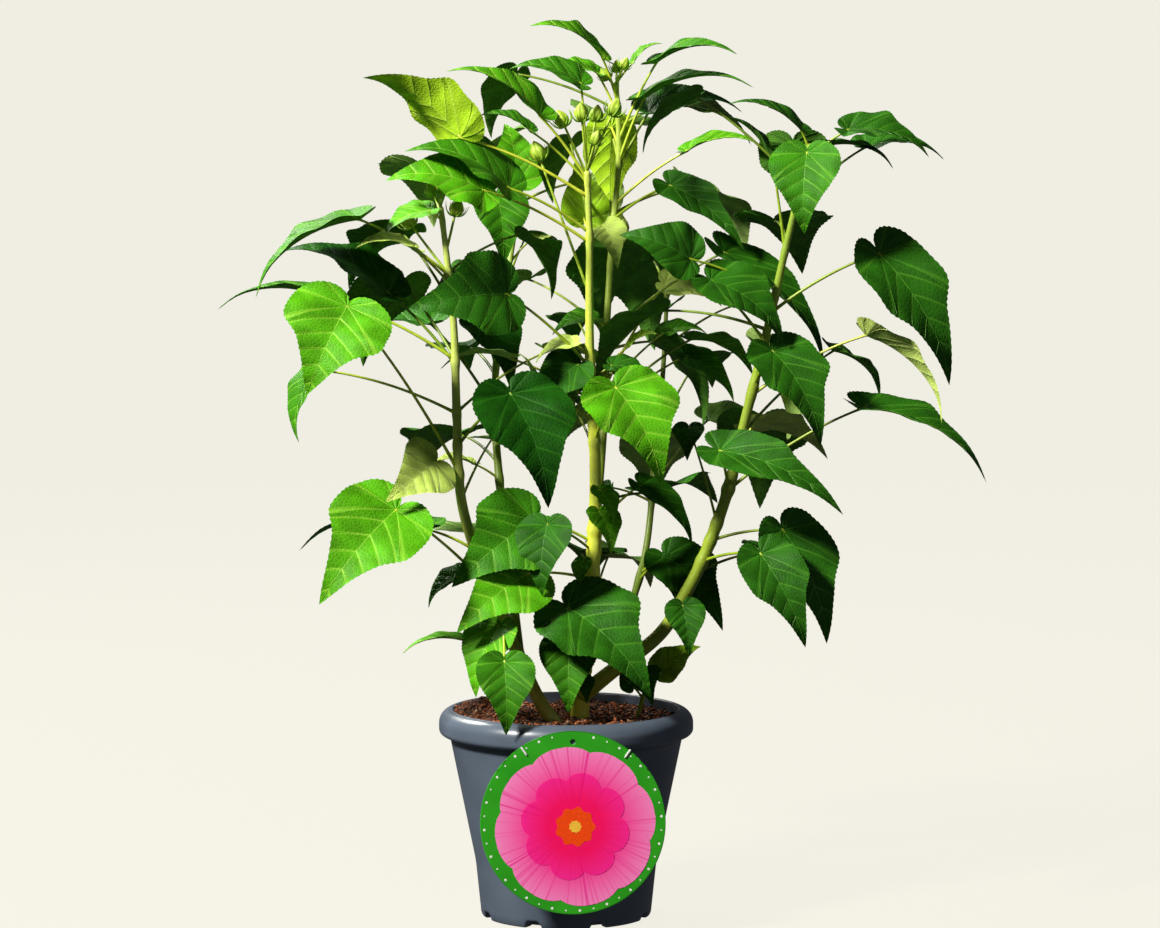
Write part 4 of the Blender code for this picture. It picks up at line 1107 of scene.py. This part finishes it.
def grow_leaves():
    """Every leaf: the noted ones first, then those of the far side."""
    placed = []
    for cane in CANES:
        for name, low, high in piece_spans(cane):
            placed.append(noted(name, CANE_CLEAR, cane_skin(cane, low, high)))
    for cane, rows in BUDS.items():
        for row in rows:
            placed.append(noted(piece_at(cane, row[0]), CLEAR, Bud(cane, row).samples()))
    grown = [place_leaf(cane, row, placed) for cane, rows in LEAVES.items() for row in rows]
    grown = [leaf for leaf in grown if leaf]
    front = seen_cells(np.vstack([leaf.samples() for leaf in grown]))
    rng = np.random.default_rng(SEED)
    for cane in CANES:
        for rows in rear_nodes(cane, rng):
            for row in rows:
                hidden = np.isin(seen_cells(Leaf(cane, row).samples()), front).mean()
                leaf = place_leaf(cane, row, placed) if hidden >= HIDDEN_SHARE else None
                if leaf:
                    grown.append(leaf)
                    break
    return grown


leaves = grow_leaves()
masses = [name for pieces in PIECES.values() for name, _ in pieces if name.startswith("leaves")]


# ---- Leaf stalks ----
# Long smooth stalks, swollen where they leave the cane and where they carry the blade. Their greens
# are painted light and shade, yellow-green for a lit stalk and darker for a shaded one, dealt out
# by their leaf's tint.

STALK_THICK = 3.4 * MM
STALK_RINGS = 16
STALK_SIDES = 8
STALK_TAPER = 0.35
STALK_SLIM = 0.86
SWELLING_REACH = 0.06  # of the stalk's length
# Painted light: a stalk's green is lighter and yellower the more light its leaf's tint paints in.
STALK_GREENS_BY_LIGHT = {
    "in_deep_shade": (0.20, 0.34, 0.02), "in_shade": (0.32, 0.46, 0.02), "half_lit": (0.52, 0.68, 0.04),
    "sunlit": (0.64, 0.76, 0.05), "backlit": (0.70, 0.78, 0.06), "backlit_glow": (0.66, 0.76, 0.10),
    "far": (0.22, 0.34, 0.03), "far_backlit": (0.42, 0.54, 0.08),
}


def tinted(tint):
    """The leaves of one tint."""
    return [leaf for leaf in leaves if leaf.tint == tint]


def build_stalks():
    """The radius falls evenly from foot to end, with a smooth swelling near each of them."""
    share = np.linspace(0, 1, STALK_RINGS)
    swelling = (1 + 0.35 * np.exp(-(share / SWELLING_REACH) ** 2)
                + 0.3 * np.exp(-((1 - share) / SWELLING_REACH) ** 2))
    for tint, shade in STALK_GREENS_BY_LIGHT.items():
        parts = []
        for leaf in tinted(tint):
            sunk = leaf.surface(np.array((STALK_SUNK * 0.5,)), np.zeros(1))
            thick = 0.7 + 0.3 * min(1, leaf.length / (90 * MM))
            radii = STALK_THICK / 2 * thick * (1 - STALK_TAPER * share) * swelling * STALK_SLIM
            parts.append(tube(np.vstack((leaf.stalk(STALK_RINGS), sunk)),
                              np.append(radii, radii[-1] * 0.4), STALK_SIDES))
        gathered_piece(f"stalks_{tint}", parts,
                       lit_and_shaded(f"stalk_{tint}", shade, 0.75, 120, 0.38))


build_stalks()


# ---- Leaf blades ----
# Heart-shaped, long-tipped and finely toothed, the larger ones with a pointed lobe on each side.
# The upper side is deep green with a satin gleam, and the underside is paler and matt. Each
# leaf's greens are painted with the light or shade it gets, picked by its tint.

TEETH = 66
RINGS = 9
TEETH_DEEP = 0.010
WAVE = 0.012
TIP_DROOP = 0.05
TIP_FROM = 0.72  # along the midrib
SAG = 0.64
SAG_FROM = 0.22  # out from the midrib
SMALL_BLADE = 52 * MM
BLADE_HALF_THICK = 0.28 * MM
LEAF_SHEEN = 0.12
SIDE_VEINS = (0.17, 0.35, 0.53, 0.71)  # their feet on the midrib, in blade lengths
SIDE_EVERY = 0.18
SIDE_SLANT = 0.62  # how far a side vein runs forward for its distance out,
SIDE_CURVE = 0.5  # and for that distance squared
RIB_FIRST = 0.768  # radians from the tip
RIB_EVERY = 0.68
FAN_FROM = 0.72
NET_SCALE = 30
VEIN_SHARP = 9
VEIN_PALE = 0.5
NET_PALE = 0.16
VEIN_RELIEF = 0.7 * MM
PEBBLE_ROUND = 0.3
PEBBLE_TALL = 0.8
# Upper and under greens for each tint, which are painted light and shade: darkest for a leaf in
# deep shade, then in shade, half lit and in sun, and yellowest and palest for leaves lit through
# from behind. Most rear leaves get a darker green; at some nodes they get a paler one, painted as
# lit through from behind.
BLADE_GREENS_BY_LIGHT = {
    "in_deep_shade": ((0.007, 0.066, 0.002), (0.030, 0.120, 0.012)),
    "in_shade": ((0.018, 0.110, 0.004), (0.060, 0.180, 0.020)),
    "half_lit": ((0.036, 0.200, 0.004), (0.110, 0.280, 0.030)),
    "sunlit": ((0.080, 0.360, 0.004), (0.220, 0.460, 0.030)),
    "backlit": ((0.230, 0.460, 0.008), (0.400, 0.660, 0.020)),
    "backlit_glow": ((0.500, 0.680, 0.120), (0.560, 0.720, 0.170)),
    "far": ((0.022, 0.140, 0.004), (0.080, 0.230, 0.025)),
    "far_backlit": ((0.150, 0.330, 0.045), (0.330, 0.500, 0.130)),
}
# Vein greens for each tint, painted light as the blades' are: paler on a leaf painted as lit.
VEIN_GREENS_BY_LIGHT = {
    "in_deep_shade": (0.024, 0.150, 0.006), "in_shade": (0.075, 0.270, 0.015), "half_lit": (0.170, 0.450, 0.030),
    "sunlit": (0.330, 0.660, 0.050), "backlit": (0.500, 0.720, 0.080), "backlit_glow": (0.660, 0.800, 0.260),
    "far": (0.080, 0.280, 0.020), "far_backlit": (0.360, 0.540, 0.160),
}


def toothed_outline(lobed, teeth):
    """Angles round the blade at even steps along its edge, three to a tooth, and the edge's
    reach there, drawn in a little at each tooth's notch."""
    fine = np.linspace(0, 180, 721)
    reach = outline_reach(fine, lobed)
    x, y = reach * np.cos(np.radians(fine)), reach * np.sin(np.radians(fine))
    run = np.append(0, np.cumsum(np.hypot(np.diff(x), np.diff(y))))
    half = np.interp(np.linspace(0, run[-1], 3 * teeth // 2 + 1), run, fine)
    angles = np.concatenate((-half[:0:-1], half[:-1]))
    order = np.abs(np.arange(len(angles)) - (len(half) - 1))
    tooth = np.array((0.0, -1.0, -0.45))[order % 3]
    keep_tip = np.clip(order / 6, 0, 1)
    return angles, outline_reach(angles, lobed) + TEETH_DEEP * tooth * keep_tip


def blade_lift(leaf, along, across, phase):
    """Rise of the upper side: a parabola along the midrib, a fold that is rounded at the
    midrib, a droop of the tip, waves that grow towards the edge, and a sag of the wide part."""
    clipped = np.clip(along, 0, 1)
    arch = BLADE_ARCH * 4 * clipped * (1 - clipped)
    fold = (np.sqrt(across ** 2 + 0.0006) - 0.0245) * math.sin(math.radians(BLADE_FOLD))
    droop = TIP_DROOP * np.clip((along - TIP_FROM) / (1 - TIP_FROM), 0, 1) ** 2
    wave = WAVE * (np.abs(across) / 0.3) ** 1.5 * np.sin(17 * along + np.sign(across) * phase)
    sag = SAG * np.clip(np.abs(across) - SAG_FROM, 0, 1) ** 2
    return arch + fold - droop + wave - sag


def blade(leaf):
    """Points, triangles and places on the blade: rings of the toothed outline shrunk towards
    the stalk's end, once for the upper side and once below it, meeting along the edge."""
    small = leaf.length < SMALL_BLADE
    angles, reach = toothed_outline(leaf.lobed, TEETH // 2 if small else TEETH)
    rings = RINGS - 3 if small else RINGS
    share = np.linspace(0, 1, rings + 1)[1:, None]
    along = share * reach * np.cos(np.radians(angles))
    across = leaf.wide * share * reach * np.sin(np.radians(angles))
    lift = blade_lift(leaf, along, across, leaf.phase)
    rise = BLADE_HALF_THICK / leaf.length * (1 - share ** 4)
    upper = leaf.at(along, across, lift + rise).reshape(-1, 3)
    lower = leaf.at(along, across, lift - rise).reshape(-1, 3)
    skin = np.array((BLADE_HALF_THICK / leaf.length,))
    hub, under_hub = (leaf.at(np.zeros(1), np.zeros(1), raised) for raised in (skin, -skin))
    count = len(angles)
    ring = np.arange(count)
    sheet = np.vstack((grid_triangles(rings, count, True),
                       fan_triangles(rings * count, ring, False)))
    flat = np.stack((along, across / leaf.wide), axis=2).reshape(-1, 2)
    places = np.vstack((flat, [(0, 0)]))
    return ((np.vstack((upper, hub)), sheet, places),
            (np.vstack((lower, under_hub)), sheet[:, ::-1], places))


def veined(name, shade, vein_shade, rough, relief):
    """A mottled finish laid out on the blade's own (along, across). A place belongs to the side
    vein whose foot lies a slanted share of its distance out, and of that squared, behind it.
    Far enough round from the tip, ribs of the fan stand in for side veins. The blade is paler
    near a vein and over a net of fine veins, and rises between them."""
    leaf = mottled(name, tuple(0.72 * part for part in shade),
                   tuple(1.15 * part for part in shade), 60, rough)
    work = leaf.work
    place = leaf.add("UVMap", {}, "UV", uv_map="blade")
    along = leaf.add("SeparateXYZ", {"Vector": place}, "X")
    out = work("ABSOLUTE", along.node.outputs["Y"])
    behind = work("MULTIPLY", out, work("ADD", work("MULTIPLY", out, SIDE_CURVE), SIDE_SLANT))
    foot = work("SUBTRACT", work("SUBTRACT", along, behind), SIDE_VEINS[0])
    from_side = work("PINGPONG", work("DIVIDE", foot, SIDE_EVERY), 0.5)
    angle = work("ARCTAN2", out, along)
    from_rib = work("PINGPONG", work("DIVIDE", work("SUBTRACT", angle, RIB_FIRST), RIB_EVERY), 0.5)
    in_fan = work("GREATER_THAN", angle, FAN_FROM)
    choice = work("MULTIPLY", work("SUBTRACT", from_rib, from_side), in_fan)
    from_vein = work("ADD", from_side, choice)
    net = leaf.add("TexVoronoi", {"Vector": place, "Scale": NET_SCALE}, "Distance",
                   voronoi_dimensions="2D", feature="DISTANCE_TO_EDGE")
    near_vein, near_net = (
        work("MULTIPLY", work("SUBTRACT", 1, work("MULTIPLY", away, VEIN_SHARP), True), strength)
        for away, strength in ((from_vein, VEIN_PALE), (net, NET_PALE)))
    tint = leaf.mix(work("MAXIMUM", near_vein, near_net), leaf.shade, (*vein_shade, 1))
    half_way = work("MULTIPLY", from_vein, 2)
    swell = work("MULTIPLY", half_way, work("SUBTRACT", 2, half_way))
    pebbles = work("MULTIPLY", work("MINIMUM", net, PEBBLE_ROUND), PEBBLE_TALL)
    bump = leaf.add("Bump", {"Height": work("ADD", swell, pebbles), "Distance": relief}, "Normal")
    leaf.feed(leaf.shader, {"Specular IOR Level": LEAF_SHEEN, "Base Color": tint, "Normal": bump})
    return leaf


def build_blades():
    """The blades of each tint, their two sides by turns; the first piece stands for the masses."""
    rng = np.random.default_rng(9)
    for leaf in leaves:
        leaf.phase = rng.uniform(0, math.tau)
    for tint, (top_shade, under_shade) in BLADE_GREENS_BY_LIGHT.items():
        parts = [side for leaf in tinted(tint) for side in blade(leaf)]
        points, triangles, owner = gather([part[:2] for part in parts])
        vein_shade = VEIN_GREENS_BY_LIGHT[tint]
        finishes = [veined(f"leaf_{tint}_upper", top_shade, vein_shade, 0.5, VEIN_RELIEF),
                    veined(f"leaf_{tint}_under", under_shade, vein_shade, 0.62, -VEIN_RELIEF)]
        put_together(f"blades_{tint}", points, triangles, finishes, "foliage",
                     masses if tint == "in_deep_shade" else (), finish_of=owner % 2,
                     places=np.vstack([part[2] for part in parts]))


build_blades()


# ---- Leaf veins ----
# A midrib and six more ribs fan out from the stalk, and pairs of side veins leave the midrib.
# They are paler than the blade and stand proud of it, more so below.

VEIN_WIDE = 0.0125
SUNK = -0.25 * MM  # the feet of a vein, from the blade's skin
PROUD_ABOVE = 0.16 * MM
PROUD_BELOW = 0.34 * MM
MIDRIB_TO = 0.97
RIB_TO = 0.93  # of the way to the edge
SIDE_TO = 0.94
FIRST_SIDE_WITHIN = 34  # degrees from the tip, short of the first rib
SIDE_WITHIN = 40
FAN_RIBS = (44, -44, 82, -82, 122, -122)


def vein_paths(lobed):
    """Paths (along, across) in blade lengths, each with its width at the foot. A rib of the fan
    bends forward as it goes out, and a side vein leaves the midrib on a slant and stops short of
    the edge or of the first rib."""
    paths = [(np.linspace(0, MIDRIB_TO, 14), np.zeros(14), VEIN_WIDE)]
    t = np.linspace(0, 1, 10)
    for angle in FAN_RIBS:
        bent = angle * (1 - 0.10 * t ** 2)
        reach = RIB_TO * t * outline_reach(bent, lobed)
        paths.append((reach * np.cos(np.radians(bent)), reach * np.sin(np.radians(bent)),
                      VEIN_WIDE * (0.8 if abs(angle) < 100 else 0.6)))
    out = np.linspace(0, 0.6, 121)
    for foot in SIDE_VEINS:
        along = foot + SIDE_SLANT * out + SIDE_CURVE * out ** 2
        angle = np.degrees(np.arctan2(out, along))
        inside = np.hypot(along, out) < SIDE_TO * outline_reach(angle, lobed)
        within = FIRST_SIDE_WITHIN if foot == SIDE_VEINS[0] else SIDE_WITHIN
        free = inside & (angle <= within)
        last = len(out) - 1 if free.all() else np.argmin(free)
        if last < 8:
            continue
        pick = np.linspace(0, last, 7).astype(int)
        for side in (1, -1):
            paths.append((along[pick], side * out[pick], VEIN_WIDE * 0.62))
    return paths


def vein_ridges(leaf, paths):
    """Each vein is a low roof: its two feet sunk in the blade and its crest proud of it, with a
    width that shrinks towards its end."""
    parts = []
    for along, across, wide in paths:
        across = leaf.wide * across
        step = unit(np.stack((np.gradient(along), np.gradient(across)), axis=1))
        half = wide / 2 * (1 - 0.75 * np.linspace(0, 1, len(along)))
        left = (along - step[:, 1] * half, across + step[:, 0] * half)
        right = (along + step[:, 1] * half, across - step[:, 0] * half)
        for sign, proud in ((1, PROUD_ABOVE), (-1, PROUD_BELOW)):
            skin = BLADE_HALF_THICK / leaf.length
            rows = []
            for (u, v), raised in ((left, SUNK), ((along, across), proud), (right, SUNK)):
                lift = blade_lift(leaf, u, v, leaf.phase) + sign * (skin + raised / leaf.length)
                rows.append(leaf.at(u, v, lift))
            points = np.stack(rows, axis=1).reshape(-1, 3)
            triangles = grid_triangles(len(along), 3, False)
            parts.append((points, triangles if sign > 0 else triangles[:, ::-1]))
    return parts


def build_veins():
    """The veins of each tint's leaves, on one plan for lobed blades and one for plain ones."""
    plans = {lobed: vein_paths(lobed) for lobed in (True, False)}
    for tint, shade in VEIN_GREENS_BY_LIGHT.items():
        parts = [ridge for leaf in tinted(tint) for ridge in vein_ridges(leaf, plans[leaf.lobed])]
        gathered_piece(f"veins_{tint}", parts,
                       lit_and_shaded(f"vein_{tint}", shade, 0.8, 150, 0.45))


build_veins()


# ---- Buds ----
# Unopened flower buds in a cluster at the top of a cane: an egg of five sepals pressed
# together, inside a ring of thin bracts that curl out from its foot.

BUD_SHADE = (0.46, 0.66, 0.05)
BRACT_SHADE = (0.30, 0.56, 0.04)
BRACTS = 9
EGG_RINGS = 14
EGG_SIDES = 30


def bud_frame(bud):
    """Two directions square to the bud's own."""
    side = unit(np.cross(bud.ahead, (0, 0, 1.0) if abs(bud.ahead[2]) < 0.9 else (1.0, 0, 0)))
    return side, np.cross(bud.ahead, side)


def bud_egg(bud):
    """Rings whose radius is an egg's, pinched to a point, and creased five times round."""
    share = np.linspace(0.02, 0.98, EGG_RINGS)[:, None]
    turn = round_angles(EGG_SIDES)
    radius = bud.length * 0.37 * np.sin(math.pi * share ** 0.8) ** 0.8
    radius = radius * (1 - 0.20 * np.abs(np.sin(2.5 * turn)) ** 8)
    middles = bud.end + bud.ahead * bud.length * (share - 0.1)
    tips = bud.end + np.outer((-0.1, 0.92), bud.ahead * bud.length)
    points = np.vstack((rings_round(middles, *bud_frame(bud), radius, turn), tips))
    return points, capped(EGG_RINGS, EGG_SIDES)


def bract(bud, way, rng):
    """A thin five-sided limb that starts under the bud, swings out and curls up beside it, thinning
    to a point."""
    side, other = bud_frame(bud)
    out = side * math.cos(way) + other * math.sin(way)
    t = np.linspace(0, 1, 9)
    reach = bud.length * (0.10 + 0.62 * t ** 0.8 - 0.12 * t ** 3)
    climb = bud.length * (-0.02 + (0.5 + rng.uniform(-0.1, 0.2)) * t ** 2)
    path = bud.end + reach[:, None] * out + climb[:, None] * bud.ahead
    radii = bud.length * 0.065 * (1 - 0.85 * t)
    return tube(path, radii, 5)


def build_buds():
    """All eggs, all bracts and all stalks, as one piece each."""
    rng = np.random.default_rng(3)
    eggs, bracts, stalks = [], [], []
    for cane, rows in BUDS.items():
        for row in rows:
            bud = Bud(cane, row)
            eggs.append(bud_egg(bud))
            for number in range(BRACTS):
                bracts.append(bract(bud, math.tau * number / BRACTS + rng.uniform(-0.1, 0.1), rng))
            t = np.linspace(0, 1, 8)
            path = bud.foot + (bud.end - bud.foot) * t[:, None]
            stalks.append(tube(path, (1.25 - 0.25 * t) * MM, 8))
    for name, parts, shade in (("buds", eggs, BUD_SHADE), ("bud_bracts", bracts, BRACT_SHADE),
                               ("bud_stalks", stalks, BUD_SHADE)):
        gathered_piece(name, parts, lit_and_shaded(f"{name}_green", shade, 0.7, 200, 0.5))


build_buds()
